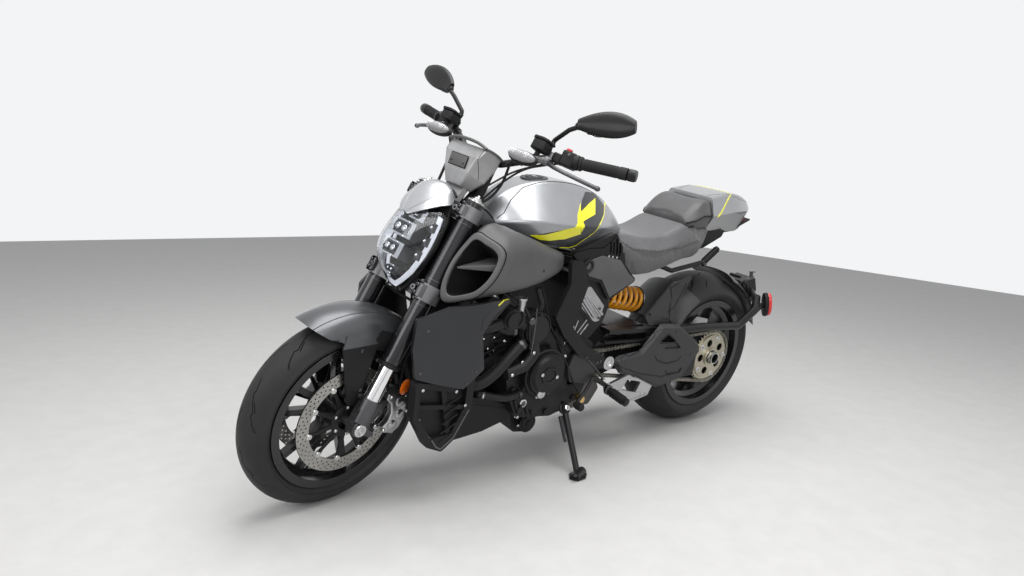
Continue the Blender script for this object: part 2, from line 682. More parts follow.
# ---- rear hub: axle nut with its collars, and the sprocket's nuts, on the left ----
rearHub = {"face": 148.0, "bore": 20.7, "nut": 33.0, "studCircle": 82, "studFace": 138}
face, bore, nutRadius = rearHub["face"], rearHub["bore"], rearHub["nut"]
hub = joined([
    lathe([(0, bore), (0, nutRadius), (4, nutRadius), (4, bore)], (0, face - 6, 0), steps=40),
    carved(cut(ringPoints(27, 6), face - 4, face + 14, edge=1.2), barrel((0, 100, 0), (0, 180, 0), bore, sides=36)),
    lathe([(0, bore), (0, 25), (6, 24), (6, bore)], (0, face + 13, 0), steps=36),
])
finished(hub, "rearAxleNut", "brightSteel", "rear_wheel")
studs = []
for x, z in ringPoints(rearHub["studCircle"], 5, start=36):
    at = (x, rearHub["studFace"], z)
    studs.append(lathe([(0, 0), (0, 12), (6, 12), (8, 10), (8, 5.5), (14, 5.5), (14, 0)], at, steps=6))
    studs.append(lathe([(-1, 14), (3, 14), (3, 6), (-1, 6)], at, steps=20))
finished(joined(studs), "sprocketNuts", "brightSteel", "rear_wheel")

print("wheels done")


# ---- fork: bright stanchions, dust seals, caps, pinch screws, axle ends ----
fork = {"tube": (-6, 109), "reach": 26, "footTop": 93, "rings": (398, 478, 662, 730),
        "clamps": ((412, 462), (676, 716)),
        "stem": (-30.8, 0)}
tubeAt, upward = fork["tube"], (0, 0, 1)
paintFaces("fork_lowers", "chrome", onFork, lambda p, n: p.z > fork["footTop"] and math.hypot(
    p.x - tubeAt[0], abs(p.y) - tubeAt[1]) < fork["reach"])
seal = joined([
    lathe([(0, 25.3), (0, 31), (3, 33.5), (9, 33.5), (11, 32), (11, 25.3)], (*tubeAt, 196), upward, steps=40),
    lathe([(0, 32.2), (0, 34), (2.5, 34), (2.5, 32.2)], (*tubeAt, 207), upward, steps=40),
])
finished(mirrored(seal), "forkDustSeals", "blackPlastic", "fork")
cap = joined([
    lathe([(0, 0), (0, 27), (4, 27), (6, 24), (6, 19), (9, 18), (9, 0)], (*tubeAt, 734), upward, steps=36),
    cut(ringPoints(12, 6, tubeAt), 740, 750, edge=0.8, plane="XY"),
    barrel((*tubeAt, 748), (*tubeAt, 757), 4.5, sides=16, edge=0.6),
])
finished(mirrored(cap), "forkCaps", "brightSteel", "fork")
lines = [lathe([(0, 29.5), (0, 30.7), (2, 30.7), (2, 29.5)], (*tubeAt, height), upward, steps=40)
         for height in fork["rings"]]
finished(mirrored(joined(lines)), "forkTubeRings", "darkSteel", "fork")

clampScrews = []
for low, high in fork["clamps"]:
    clampScrews += [(48, 109, z, (1, 0.1, 0)) for z in (low + 13, high - 13)]
    clampScrews += [(34, 106, z + side, (0, 0, side)) for z, side in ((low, -1), (high, 1))]
eyes = [lathe([(0, 4.2), (0, 8), (2, 8.5), (3, 7.5), (3, 4.2)], (52, 100, z), (1, 0.25, 0), steps=24)
        for z in (436, 692)]
finished(mirrored(joined([screws(clampScrews, 5.5, 5), *eyes])), "clampScrews", "darkSteel", "fork")
slits = joined([block((26, 1.6, high - low - 4), (40, 109, (low + high) / 2)) for low, high in fork["clamps"]])
finished(mirrored(slits), "clampSlits", "seamBlack", "fork")
stem = joined([
    cut(ringPoints(17, 6, fork["stem"]), 724, 738, edge=1.2, plane="XY"),
    lathe([(0, 8), (0, 24), (3, 24), (4, 22), (4, 8)], (*fork["stem"], 722), upward, steps=32),
])
finished(stem, "steeringStemNut", "brightSteel", "fork")

axleEnd = joined([
    lathe([(0, 8.6), (0, 19), (3, 20), (9, 20), (11, 18), (11, 13), (7, 12), (7, 8.6)], (0, 126, 0), steps=40),
    cut(ringPoints(11, 6), 128, 134, edge=0.5),
])
finished(mirrored(axleEnd), "axleEnds", "brightSteel", "fork")
finished(mirrored(sideScrews([(-26, 34), (-24, -4), (14, 52)], 119, 5, 4)), "footScrews", "darkSteel", "fork")


# ---- front calipers: two-piece radial body, pistons, pads, nipples, bolts ----
caliper = {
    "outline": [(-74, 118), (-104, 138), (-134, 128), (-168, 100), (-184, 62), (-184, 26), (-170, 0), (-132, -4),
                (-118, 12), (-128, 34), (-124, 62), (-104, 88), (-78, 96)],
    "outerHalf": (73, 98, 5), "innerHalf": (41, 54, 4), "pistons": [(-150, 28), (-158, 66), (-134, 104)],
    "bolts": [(-88, 110), (-124, 6), (-176, 84)], "pads": (56.5, 69.5),
}
body, inner = (cut(caliper["outline"], *caliper[half], segments=3) for half in ("outerHalf", "innerHalf"))
bridge = joined([block((26, 30, 12), (-176, 64, 14), 2, (0, 12, 0)),
                 block((30, 30, 12), (-112, 64, 128), 2, (0, -40, 0)),
                 block((14, 30, 20), (-184, 64, 50), 2, (0, -8, 0))])
pistons = joined([lathe([(0, 0), (0, 16), (3, 16), (4.5, 14), (4.5, 0)], (x, 98, z), steps=28)
                  for x, z in caliper["pistons"]])
calipers = finished(mirrored(joined([body, inner, bridge, pistons])), "caliperBodies", "bareAlloy", "fork")
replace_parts(calipers, "front_calipers")
pads = joined([block((40, 6, 30), (-142, y, 60), 1, (0, 30, 0)) for y in caliper["pads"]])
finished(mirrored(pads), "brakePads", "darkSteel", "fork")
bits = joined([
    sideScrews(caliper["bolts"], 98, 6.5, 7),
    barrel((-150, 86, 104), (-158, 86, 122), 4, sides=10, edge=0.6),
    barrel((-158, 86, 122), (-160, 86, 128), 2.4, sides=10, edge=0.4),
    barrel((-122, 80, 118), (-122, 92, 118), 8.5, sides=20, edge=1),
])
finished(mirrored(bits), "caliperFittings", "brightSteel", "fork")


# ---- amber side reflector on its bracket ----
reflectorAt = {"at": (-92, 122, 158), "axis": (-0.25, 1, 0.1), "steps": 40}
lens = lathe([(0, 0), (0, 25), (3, 25), (6, 21), (8, 12), (8.6, 0)], **reflectorAt)
back = lathe([(-5, 0), (-5, 24), (-1, 27), (2, 27), (2, 24.6)], **reflectorAt, closed=False)
arm = cut([(-60, 120), (-40, 122), (-46, 136), (-88, 168), (-100, 160)], 112, 117, edge=1)
finished(mirrored(lens), "sideReflectors", "amber", "fork")
finished(mirrored(joined([back, arm])), "reflectorBrackets", "blackPlastic", "fork")


# ---- front fender: dark lower stays, crease line, screws ----
paintFaces("front_fender", "blackPlastic", onFork, lambda p, n: abs(p.y) > 75.3 and (p.z < 214 or p.x < 60))


def fenderCrease(skin, across, start=-18, stop=50, radius=345, count=16):
    turns = [math.radians(start + (stop - start) * n / (count - 1)) for n in range(count)]
    rows = [skin.find_nearest(Vector((radius * math.sin(a), across, radius * math.cos(a))))[:2] for a in turns]
    verts = []
    for n, (spot, normal) in enumerate(rows):
        ahead = rows[min(count - 1, n + 1)][0] - rows[max(0, n - 1)][0]
        beside = ahead.cross(normal).normalized() * 2.2
        verts += [spot + beside - normal * 0.5, spot + normal * 1.5, spot - beside - normal * 0.5]
    return skinned(verts, 3)


fenderSkin = surfaceOf("front_fender", space=onFork)
finished(joined([fenderCrease(fenderSkin, y) for y in (-52, 52)]), "fenderCreases", "fenderPaint", "fork")
finished(mirrored(sideScrews([(20, 200), (24, 100), (90, 210)], 81, 6, 3.5)), "fenderScrews", "darkSteel", "fork")
print("fork, calipers and fender done")


# ---- headlight: light guides, lamp modules, bezel, slots ----
lensRows = [(412, 26, 24), (440, 29, 48), (470, 32, 66), (500, 35, 76), (530, 36, 83), (560, 37, 86), (590, 40, 88),
            (620, 42, 87), (646, 43, 82)]


def guide(side, inset=5, width=15, lift=10, thick=5):
    verts = []
    for z, front, half in lensRows:
        outer, inner, x = side * (half - inset), side * max(4, half - inset - width), front + lift
        verts += [(x, outer, z), (x + 4, inner, z + 3), (x + 4 - thick, inner, z + 3), (x - thick, outer, z)]
    return softEdges(skinned(verts, 4), 1.2, 2, 50)


guides = joined([guide(1), guide(-1), block((5, 40, 12), (36, 0, 419), 2)])
finished(guides, "dayLightGuides", "lightGuide", "fork")
paintFaces("headlight_core", "darkSteel", onFork, lambda p, n: n.x < 0.6 or abs(p.y) > 44)
paintFaces("headlight_core", "blackPlastic", onFork, lambda p, n: p.x < 42)
modules = [(452, 70, 15, 20), (508, 108, 27, 36), (572, 104, 31, 38), (626, 84, 27, 24)]
frames, domes = [], []
for z, front, half, height in modules:
    low, high, radius = z - height / 2, z + height / 2, min(half * 0.4, height * 0.36)
    frames.append(cut([(-half, low), (half, low), (half, high), (-half, high)], front - 3, front + 3, edge=3,
                      plane="YZ"))
    for side in (-1, 1):
        at = (front + 1, side * half * 0.46, z)
        domes.append(ball(at, radius, (0.6, 1, 1), 24))
        frames.append(lathe([(0, radius), (5, radius + 1.5), (5, radius + 3), (0, radius + 3)], at, (1, 0, 0),
                            steps=28))
for side in (-1, 1):
    for z, front, y in ((520, 58, 58), (566, 60, 64), (610, 62, 66)):
        frames.append(block((6, 16, 22), (front - 1, side * y, z), 2))
        domes.append(ball((front + 3, side * y, z), 6, (0.7, 1, 1)))

finished(joined(frames), "lampModuleFrames", "darkSteel", "fork")
finished(joined(domes), "lampDomes", "chrome", "fork")
slotsLow = joined([block((4, 16, 3), (66 - n * 12, 0, 436 - n * 8), 1, (0, 30, 0)) for n in range(2)])
finished(slotsLow, "lampSlots", "chrome", "fork")


def lensEdge(side):
    verts = []
    for z, front, half in lensRows:
        verts += [(front - 3, side * (half + 5), z), (front + 4, side * (half + 4), z),
                  (front + 5, side * (half - 1), z), (front - 3, side * (half - 1), z)]
    return skinned(verts, 4)


bezel = softEdges(joined([lensEdge(1), lensEdge(-1)]), 1.0, 2, 50)
finished(joined([bezel, block((9, 52, 6), (28, 0, 405), 2)]), "headlightBezel", "satinBlack", "fork")


# ---- visor: folded sheet with two creases, in place of the plain hood ----
visorRows = [(130, 16, 614, 608), (112, 50, 664, 640), (84, 74, 722, 674), (58, 85, 751, 690), (38, 82, 750, 700)]
visorCrease = [(128, 10, 622), (108, 34, 662), (80, 50, 708), (52, 60, 732)]


def visorSheet():
    verts = []
    for x, half, crown, side in visorRows:
        shoulder = crown - (crown - side) * 0.34
        for share, height in ((-1, side), (-0.72, shoulder), (-0.34, crown - 3), (0, crown),
                              (0.34, crown - 3), (0.72, shoulder), (1, side)):
            verts.append((x, half * share, height))
    starts = [n * 7 + k for n in range(len(visorRows) - 1) for k in range(6)]
    sheet = outward(meshOf(verts, [(a, a + 1, a + 8, a + 7) for a in starts]), 0.001)

    def crease():
        edit = bmesh.from_edit_mesh(sheet.data)
        mark = edit.edges.layers.float.get("crease_edge") or edit.edges.layers.float.new("crease_edge")
        for edge in edit.edges:
            a, b = (v.index % 7 for v in edge.verts)
            if a == b and a in sharpness:
                edge[mark] = sharpness[a]
        bmesh.update_edit_mesh(sheet.data)

    sharpness = {0: 1.0, 1: 0.9, 5: 0.9, 6: 1.0}
    edited(sheet, crease)
    if sheet.data.polygons[8].normal.z < 0:
        sheet.data.flip_normals()
    applied(sheet, "SOLIDIFY", thickness=5, offset=-1)
    return applied(sheet, "SUBSURF", levels=3, render_levels=3)


visor = finished(visorSheet(), "visorHood", "visorPaint", "fork", smooth=30)
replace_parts(visor, "headlight_visor")
visorTree = treeIn([visor], onFork)
visorCreases = [strip(visorTree, [(x, side * y, z) for x, y, z in visorCrease], 2.4, (-0.6, 0, -0.8), 0.9, 5,
                      taper=True)
                for side in (-1, 1)]
finished(joined(visorCreases), "visorCreases", "visorPaint", "fork")
visorLip = tube([(36, -70, 722), (30, -50, 736), (28, 0, 744), (30, 50, 736), (36, 70, 722)], 4)
finished(visorLip, "visorRearLip", "blackPlastic", "fork")


# ---- instrument pod: door with two screws, seams, hooded screen ----
door = block((3, 70, 34), (32.5, 0, 828), 1.2, (0, 11, 0))
doorSeam = block((1.6, 74, 38), (31.9, 0, 828), 0.6, (0, 11, 0))
finished(doorSeam, "podDoorSeam", "seamBlack", "fork")
finished(door, "podDoor", "greyPlastic", "fork")
doorScrews = screws([(34.5, 26, 822, (1, 0, -0.2)), (34.5, -26, 822, (1, 0, -0.2))], 3.4, 2.4)
finished(doorScrews, "podDoorScrews", "darkSteel", "fork")
screen = block((42, 134, 3), (-6, 0, 878), 1.2, (0, 6, 0))
finished(screen, "displayGlass", "screenDark", "fork")
hood = joined([
    tube([(28, -80, 886), (34, -60, 894), (36, 0, 898), (34, 60, 894), (28, 80, 886)], 5, sides=6),
    tube([(28, -80, 886), (-10, -92, 892), (-44, -88, 886)], 4, sides=6),
    tube([(28, 80, 886), (-10, 92, 892), (-44, 88, 886)], 4, sides=6),
    tube([(-44, -88, 886), (-52, 0, 888), (-44, 88, 886)], 3.5, sides=6),
])
finished(hood, "displayHood", "greyPlastic", "fork")
podSkin = surfaceOf("instrument_pod", space=onFork)
podSeams = joined([strip(podSkin, [(30, side * 66, 800), (30, side * 70, 850), (24, side * 70, 884)], 1.6, (-1, 0, 0))
                   for side in (-1, 1)])
finished(podSeams, "podSeams", "seamBlack", "fork")
print("headlight and pod done")


# ---- handlebar fittings ----
def alongGrip(distance, side=1):
    start, end = Vector((-98, 300, 966)), Vector((-146, 446, 994))
    point = start + (end - start).normalized() * distance
    return Vector((point.x, side * point.y, point.z))


gripWay = (alongGrip(10) - alongGrip(0)).normalized()
ribs = [lathe([(0, 15.8), (0.6, 17.4), (2.2, 17.4), (2.8, 15.8)], alongGrip(24 + n * 4.5), gripWay, steps=28)
        for n in range(22)]
flange = lathe([(0, 15), (0, 21), (3, 21.5), (5, 20), (5, 15)], alongGrip(9), gripWay, steps=32)
finished(mirrored(joined(ribs + [flange])), "gripRibs", "gripRubber", "fork")
barEnd = lathe([(0, 0), (0, 14), (4, 17.5), (20, 17.5), (26, 15), (28, 0)], alongGrip(151), gripWay, steps=32)
finished(mirrored(barEnd), "barEnds", "satinBlack", "fork")

risers = [block((34, 28, height), (-62, side * 36, z), 3, (0, -4, 0)) for side in (-1, 1)
          for height, z in ((14, 890), (12, 866))]
finished(joined(risers), "barClamps", "castGrey", "fork")
clampTops = screws([(x, y, 896, upward) for x in (-73, -51) for y in (-44, -28, 28, 44)], 4.2, 5)
finished(clampTops, "barClampScrews", "brightSteel", "fork")

# switch housing with its buttons, on each side
housing = joined([
    block((46, 46, 46), (-96, 272, 966), 7, (0, 8, 18), 3),
    block((36, 30, 30), (-90, 238, 958), 5, (0, 8, 18), 3),
    barrel((-92, 292, 964), (-98, 306, 967), 22, sides=32, edge=2),
])
finished(mirrored(housing), "switchHousings", "blackPlastic", "fork")
buttons = joined([
    block((8, 12, 6), (-120, 268, 978), 1.5), block((8, 10, 6), (-120, 284, 964), 1.5),
    block((7, 18, 5), (-120, 272, 954), 1.5), block((10, 8, 8), (-72, 282, 974), 1.5),
])
finished(mirrored(buttons), "switchButtons", "greyPlastic", "fork")
redRocker = block((14, 16, 7), (-84, 266, 991), 2, (0, 8, 18))
finished(mirrored(redRocker), "redRockers", "redSwitch", "fork")

# lever clamp, master cylinder and reservoir
master = joined([
    barrel((-84, 210, 944), (-66, 226, 940), 9, sides=20, edge=1.5),
    block((34, 26, 34), (-80, 214, 950), 5, (0, 0, 18), 3),
    barrel((-56, 226, 934), (-26, 160, 914), 12, sides=24, edge=2),
    barrel((-60, 232, 936), (-54, 222, 933), 14, sides=24, edge=2),
])
finished(mirrored(master), "masterCylinders", "castGrey", "fork")
pot = cut([(-62, 176), (-62, 226), (-24, 226), (-14, 216), (-14, 186), (-24, 176)], 948, 978, edge=4, plane="XY",
          segments=3)
lid = cut([(-65, 173), (-65, 229), (-23, 229), (-11, 217), (-11, 185), (-23, 173)], 978, 986, edge=2.5, plane="XY")
neck = barrel((-40, 198, 930), (-40, 200, 950), 8, sides=20, edge=1)
finished(mirrored(joined([pot, neck])), "fluidReservoirs", "blackPlastic", "fork")
finished(mirrored(lid), "reservoirLids", "satinBlack", "fork")
lidScrews = screws([(-56, 181, 986, (0, 0, 1)), (-56, 221, 986, (0, 0, 1)), (-22, 201, 986, (0, 0, 1))], 3.2, 1.6)
finished(mirrored(lidScrews), "reservoirScrews", "brightSteel", "fork")

# front turn signal: black shell and an oval ribbed clear lens that looks forward
shell = ball((-12, 184, 908), 1, (20, 56, 21), 28)
lensTurn = ball((0, 185, 909), 1, (17, 52, 17), 32)
ridges = joined([tube([(12, 148 + n * 7, 903), (18, 148 + n * 7, 911), (12, 148 + n * 7, 919)], 0.9, sides=3)
                 for n in range(11)])
finished(mirrored(shell), "signalShells", "blackPlastic", "fork")
finished(mirrored(lensTurn), "signalLenses", "ribbedLens", "fork")
finished(mirrored(ridges), "signalRidges", "chrome", "fork")
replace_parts(bpy.data.objects["switchHousings"], "bar_controls")

# levers: curved blades with ball ends
leverPath = [(-62, 226, 932), (-56, 246, 924), (-54, 290, 918), (-70, 340, 916), (-92, 380, 916), (-104, 398, 917)]
lever = tube(leverPath, 6.2, sides=5)
knob = ball((-105, 399, 917), 9, (1, 1, 0.85), 20)
pivot = barrel((-62, 228, 922), (-62, 228, 942), 9, sides=20, edge=1)
finished(mirrored(joined([lever, knob, pivot])), "levers", "darkSteel", "fork")
pivotScrew = screws([(-62, 228, 942, (0, 0, 1))], 4.5, 3)
finished(mirrored(pivotScrew), "leverPivots", "brightSteel", "fork")

# mirrors: glass plate facing the rider, ball joint and stalk collars
up, ahead = Vector((0.2, -0.35, 0.9)).normalized(), Vector((-0.05, 0.92, 0.36)).normalized()
back = ahead.cross(up).normalized()
if back.x > 0:
    back = -back
rimPoints = []
for t in [math.radians(15 * n) for n in range(24)]:
    rimPoints.append(Vector((-62, 362, 1086)) + ahead * 78 * math.cos(t)
                     + up * 29 * math.sin(t) * (1 - 0.18 * math.cos(t)))
plate = skinned([p + back * depth for depth in (12, 16) for p in rimPoints], len(rimPoints))
finished(mirrored(plate), "mirrorGlasses", "mirrorGlass", "fork")
stalk = joined([
    lathe([(-4, 0), (-4, 12), (4, 12), (6, 9), (10, 9), (10, 0)], (-78, 200, 966), (0, 0, 1), steps=28),
    ball((-54, 280, 1058), 12, (1, 1.2, 1), 20),
    lathe([(0, 7), (0, 9), (3, 9), (3, 7)], (-78, 201, 992), (0, 0, 1), steps=24),
])
finished(mirrored(stalk), "mirrorJoints", "satinBlack", "fork")

# clutch and switch leads that stay with the bars
leads = joined([
    tube([(-30, 154, 912), (-34, 128, 896), (-60, 110, 870), (-84, 96, 830), (-86, 80, 780), (-70, 62, 744),
          (-62, 44, 724)], 4.2),
    tube([(-96, 250, 950), (-96, 200, 930), (-92, 140, 900), (-90, 96, 850), (-80, 70, 790), (-66, 52, 724)], 3.2),
    tube([(-90, 214, 938), (-84, 160, 906), (-72, 120, 872), (-64, 96, 838), (-48, 78, 800)], 3),
])
finished(mirrored(leads), "barLeads", "hoseRubber", "fork")
bands = joined([
    lathe([(0, 11), (0, 13), (5, 13), (5, 11)], (-72, 130, 910), (-0.16, 0.87, 0.46), steps=24),
    lathe([(0, 11), (0, 13), (5, 13), (5, 11)], (-80, 176, 935), (-0.16, 0.87, 0.46), steps=24),
])
finished(mirrored(bands), "leadBands", "gripRubber", "fork")
print("bars done")


# ---- tank: coloured flash, dark field, pinstripe, seams, filler ----
tankArt = {
    "field": [(996, 131, 829), (1040, 124, 847), (892, 164, 880), (876, 158, 896), (850, 132, 922), (812, 94, 958),
              (774, 62, 980), (716, 40, 972), (672, 58, 933), (707, 98, 911), (772, 149, 884), (789, 150, 864),
              (819, 145, 842), (851, 137, 818), (875, 135, 811), (914, 133, 812)],
    "flash": [(1038, 126, 851), (991, 142, 857), (892, 166, 884), (876, 158, 897), (862, 136, 918), (826, 104, 950),
              (842, 128, 926), (780, 92, 946), (723, 62, 960), (767, 119, 916), (844, 151, 901), (864, 166, 884),
              (854, 157, 861), (910, 148, 843), (967, 137, 836), (1000, 132, 839)],
    "pinstripe": [(640, 30, 940), (670, 60, 932), (707, 100, 910), (772, 150, 883), (789, 150, 863), (819, 145, 841),
                  (851, 137, 817), (875, 135, 810), (914, 133, 811)],
    "seam": [(1140, 78, 884), (1118, 84, 912), (1086, 68, 948), (1036, 56, 988), (968, 55, 1006), (872, 56, 1010),
             (772, 50, 994), (706, 42, 972), (650, 34, 944)],
    "way": (0.10, -0.86, -0.46), "wayTop": (0, -0.25, -0.95),
}


def buildTank():
    tree = surfaceOf("fuel_tank")
    s = tankArt
    finished(mirrored(patch(tree, s["field"], s["way"], lift=0.9, step=6)), "tankFields", "darkField")
    finished(mirrored(patch(tree, s["flash"], s["way"], lift=1.5, step=6)), "tankFlashes", "acidYellow")
    finished(mirrored(strip(tree, s["pinstripe"], 5.0, s["way"], 0.9, 4)), "tankPinstripes", "acidYellow")
    finished(mirrored(strip(tree, s["seam"], 3.4, s["wayTop"], 0.35, 5)), "tankSeams", "seamBlack")
    # filler: flange ring, cap with a finger recess, six screws
    spot, normal = hit(tree, (950, 0, 1012), (0, 0, -1))
    flange = lathe([(-3, 28), (-3, 46), (1.2, 46), (2.6, 44), (2.6, 32), (1, 28)], spot, normal, 48)
    finished(flange, "fillerFlange", "satinBlack")
    cap = lathe([(-2, 0), (-2, 29.5), (3, 29.5), (5.4, 27), (5.8, 20), (4.8, 18), (4.6, 0)], spot, normal, 40)
    finished(cap, "fillerCap", "castBlack")
    ring = ringPoints(39, 6, (spot.x, 0), 30)
    finished(screws([(x, y, spot.z + 2.2, normal) for x, y in ring], 3.2, 2.0), "fillerScrews", "darkSteel")
    latch = cut([(spot.x - 9, -7), (spot.x + 9, -7), (spot.x + 9, 7), (spot.x - 9, 7)], spot.z + 4, spot.z + 6.6, 1.5,
                "XY")
    finished(latch, "fillerLatch", "brightSteel")
    # front edge lip over the steering head
    nose = strip(tree, [(1140, 70, 892), (1144, 30, 908), (1146, 0, 912), (1144, -30, 908), (1140, -70, 892)], 6,
                 (-0.9, 0, -0.3), 1.2, 6)
    finished(nose, "tankNoseLip", "blackPlastic")


buildTank()
print("tank built")


# ---- intake covers: shell with a rolled mouth, blade, grid, split line, screw ----
intake = {
    "rim": [(1271, 167, 877), (1298, 156, 846), (1335, 152, 794), (1356, 152, 748), (1366, 154, 708), (1366, 164, 676),
            (1351, 180, 673), (1326, 203, 683), (1295, 230, 701), (1263, 247, 738), (1240, 253, 777), (1222, 250, 826),
            (1230, 232, 850), (1252, 197, 866)],
    "way": (0.72, 0.62, 0.32),
    # stations behind the mouth: x, middle y, middle z, half width, half height, squareness
    "stations": [(1120, 172, 784, 46, 92, 0.62), (1000, 148, 764, 32, 64, 0.6), (905, 128, 764, 27, 34, 0.6)],
    "lip": 0.80, "inner": 146,
}


def rounded(points, count):
    # a closed smooth loop through the given points, evenly spaced
    total = len(points)
    fine = []
    for n in range(total):
        p0, p1, p2, p3 = (Vector(points[(n + k - 1) % total]) for k in range(4))
        for m in range(8):
            t = m / 8
            fine.append(0.5 * ((2 * p1) + (p2 - p0) * t + (2 * p0 - 5 * p1 + 4 * p2 - p3) * t * t
                               + (3 * p1 - p0 - 3 * p2 + p3) * t ** 3))
    lengths = [0]
    for a, b in zip(fine, fine[1:] + fine[:1]):
        lengths.append(lengths[-1] + (b - a).length)
    out, spot = [], 0
    for n in range(count):
        want = lengths[-1] * n / count
        while lengths[spot + 1] < want:
            spot += 1
        share = (want - lengths[spot]) / (lengths[spot + 1] - lengths[spot])
        out.append(fine[spot].lerp(fine[(spot + 1) % len(fine)], share))
    return out


def buildIntakes():
    s = intake
    count = 44
    way = Vector(s["way"]).normalized()
    rim = rounded(s["rim"], count)
    middle = sum(rim, Vector()) / count

    def keptOut(p):
        # the inner wall and the throat stay out of the turning fork's way
        return Vector((p.x, max(p.y, s["inner"]), p.z))

    def scaled(loop, share, back):
        return [keptOut(middle + (p - middle) * share - way * back) for p in loop]

    behind = []
    for p in rim:
        # the shell swells upward behind the split line to meet the tank
        lift = max(0.0, (p.z - 800) / 80) ** 1.2
        q = p - way * 20 + Vector((-10, 0, 0))
        behind.append(keptOut(q + Vector((-32 * lift, -4 * lift, 42 * lift))))
    loops = [scaled(rim, 0.42, 150), scaled(rim, 0.60, 100), scaled(rim, 0.74, 34), scaled(rim, s["lip"] - 0.015, 6),
             scaled(rim, s["lip"], 1), scaled(rim, s["lip"] + 0.03, 0), scaled(rim, 0.985, 2), scaled(rim, 1.0, 5),
             scaled(rim, 1.012, 13), scaled(rim, 1.0, 14.5), scaled(rim, 1.0, 16.5)]
    loops.append([a.lerp(b, 0.25) for a, b in zip(scaled(rim, 1.012, 18), behind)])
    loops.append(behind)
    for x, y, z, half, tall, power in s["stations"]:
        loop = []
        for p in rim:
            a = math.atan2((p.z - middle.z) / 105, (p.y - middle.y) / 52)
            c, d = math.cos(a), math.sin(a)
            loop.append(Vector((x, y + half * math.copysign(abs(c) ** power, c),
                                z + tall * math.copysign(abs(d) ** power, d))))
        loops.append(loop)
    last = loops[-1]
    core = sum(last, Vector()) / count
    loops.append([core + (p - core) * 0.7 + Vector((-10, 0, 0)) for p in last])
    shell = applied(skinned([p for loop in loops for p in loop], count), "SUBSURF", levels=1)
    shell.data.materials.append(materials["greyPlastic"])
    shell.data.materials.append(materials["blackPlastic"])
    for face in shell.data.polygons:
        # the mouth's inner faces are dark, as far back as the throat
        spot, normal = face.center, face.normal
        deep = (spot - middle).dot(way) < -4 and (spot - middle).length < 175
        facing = normal.dot(middle - way * 60 - spot) > 0
        outside = (normal.dot(spot - core) > 0 and normal.dot(spot - middle) > 0 and (spot - middle).length > 60
                   and any((p - spot).length < 34 for p in rim))
        if deep and facing and not outside:
            face.material_index = 1
    twin = finished(mirrored(shell), "intakeShells", None, smooth=50)
    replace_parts(twin, "intake_covers")
    blade = meshOf([(1322, 158, 772), (1222, 232, 792), (1180, 214, 800), (1200, 158, 796),
                    (1318, 160, 766), (1222, 230, 770), (1180, 208, 774), (1200, 156, 766)],
                   [(0, 1, 2, 3), (7, 6, 5, 4), (0, 4, 5, 1), (1, 5, 6, 2), (2, 6, 7, 3), (3, 7, 4, 0)])
    finished(mirrored(softEdges(outward(blade), 2.2, 3, 25)), "intakeBlades", "greyPlastic")
    bars = [block((4, 3, 120), (1166 + n * 2, 150 + n * 9, 778), 0.8, (0, -14, 0)) for n in range(8)]
    bars += [block((4, 70, 3), (1190 - n * 4.4, 180, 728 + n * 14), 0.8, (0, -14, 0)) for n in range(8)]
    finished(mirrored(joined(bars)), "intakeGrids", "blackPlastic")
    line = scaled(rim, 1.014, 14.5)
    seam = tube([*line, line[0]], 1.5, 3, flow=False)
    finished(mirrored(seam), "intakeSeams", "seamBlack")
    finished(mirrored(boltsOn(treeIn([twin]), [(1010, 752)], 178, 4.5, 2, lean=True)), "intakeScrews", "darkSteel")


buildIntakes()
print("intakes built")


# ---- radiator cowls: crease, yellow tip, inner edge, screws ----
cowl = {
    "crease": [(1262, 238, 600), (1259, 238, 634), (1236, 236, 652), (1210, 229, 667), (1180, 214, 676)],
    "tip": [(1205, 229, 668), (1176, 214, 677), (1150, 202, 676), (1130, 194, 673)],
    "inner": [(1246, 236, 588), (1230, 232, 618), (1206, 224, 640), (1160, 208, 660)],
    "screws": [(1428, 470), (1262, 470), (1290, 436), (1420, 600)],
}


def buildCowls():
    tree = surfaceOf("radiator_cowls")
    edge = strip(tree, cowl["crease"], 3.0, (0.1, -1, 0), 0.8, 5, taper=True)
    finished(mirrored(edge), "cowlCreases", "cowlPaint")
    finished(mirrored(strip(tree, cowl["tip"], 5.5, (0, -0.7, -0.7), 0.9, 4)), "cowlTips", "acidYellow")
    finished(mirrored(strip(tree, cowl["inner"], 9, (0.1, -1, 0), 0.5, 5)), "cowlInnerEdges", "blackPlastic")
    finished(mirrored(boltsOn(tree, cowl["screws"], 200, 4.2, 2.2, lean=True)), "cowlScrews", "darkSteel")


buildCowls()
print("cowls built")


# ---- tail cowl: yellow edge stripe, creases, under lamp, seams ----
tail = {
    "stripeSide": [(-20, 0, 984), (-8, 40, 986), (20, 82, 988), (50, 106, 974), (70, 114, 956), (100, 125, 926),
                   (124, 128, 906)],
    "crease": [(140, 66, 972), (90, 84, 986), (20, 92, 982), (-60, 84, 972), (-140, 54, 952)],
    "seam": [(-30, 112, 918), (-90, 94, 916), (-150, 66, 916), (-190, 36, 918)],
}


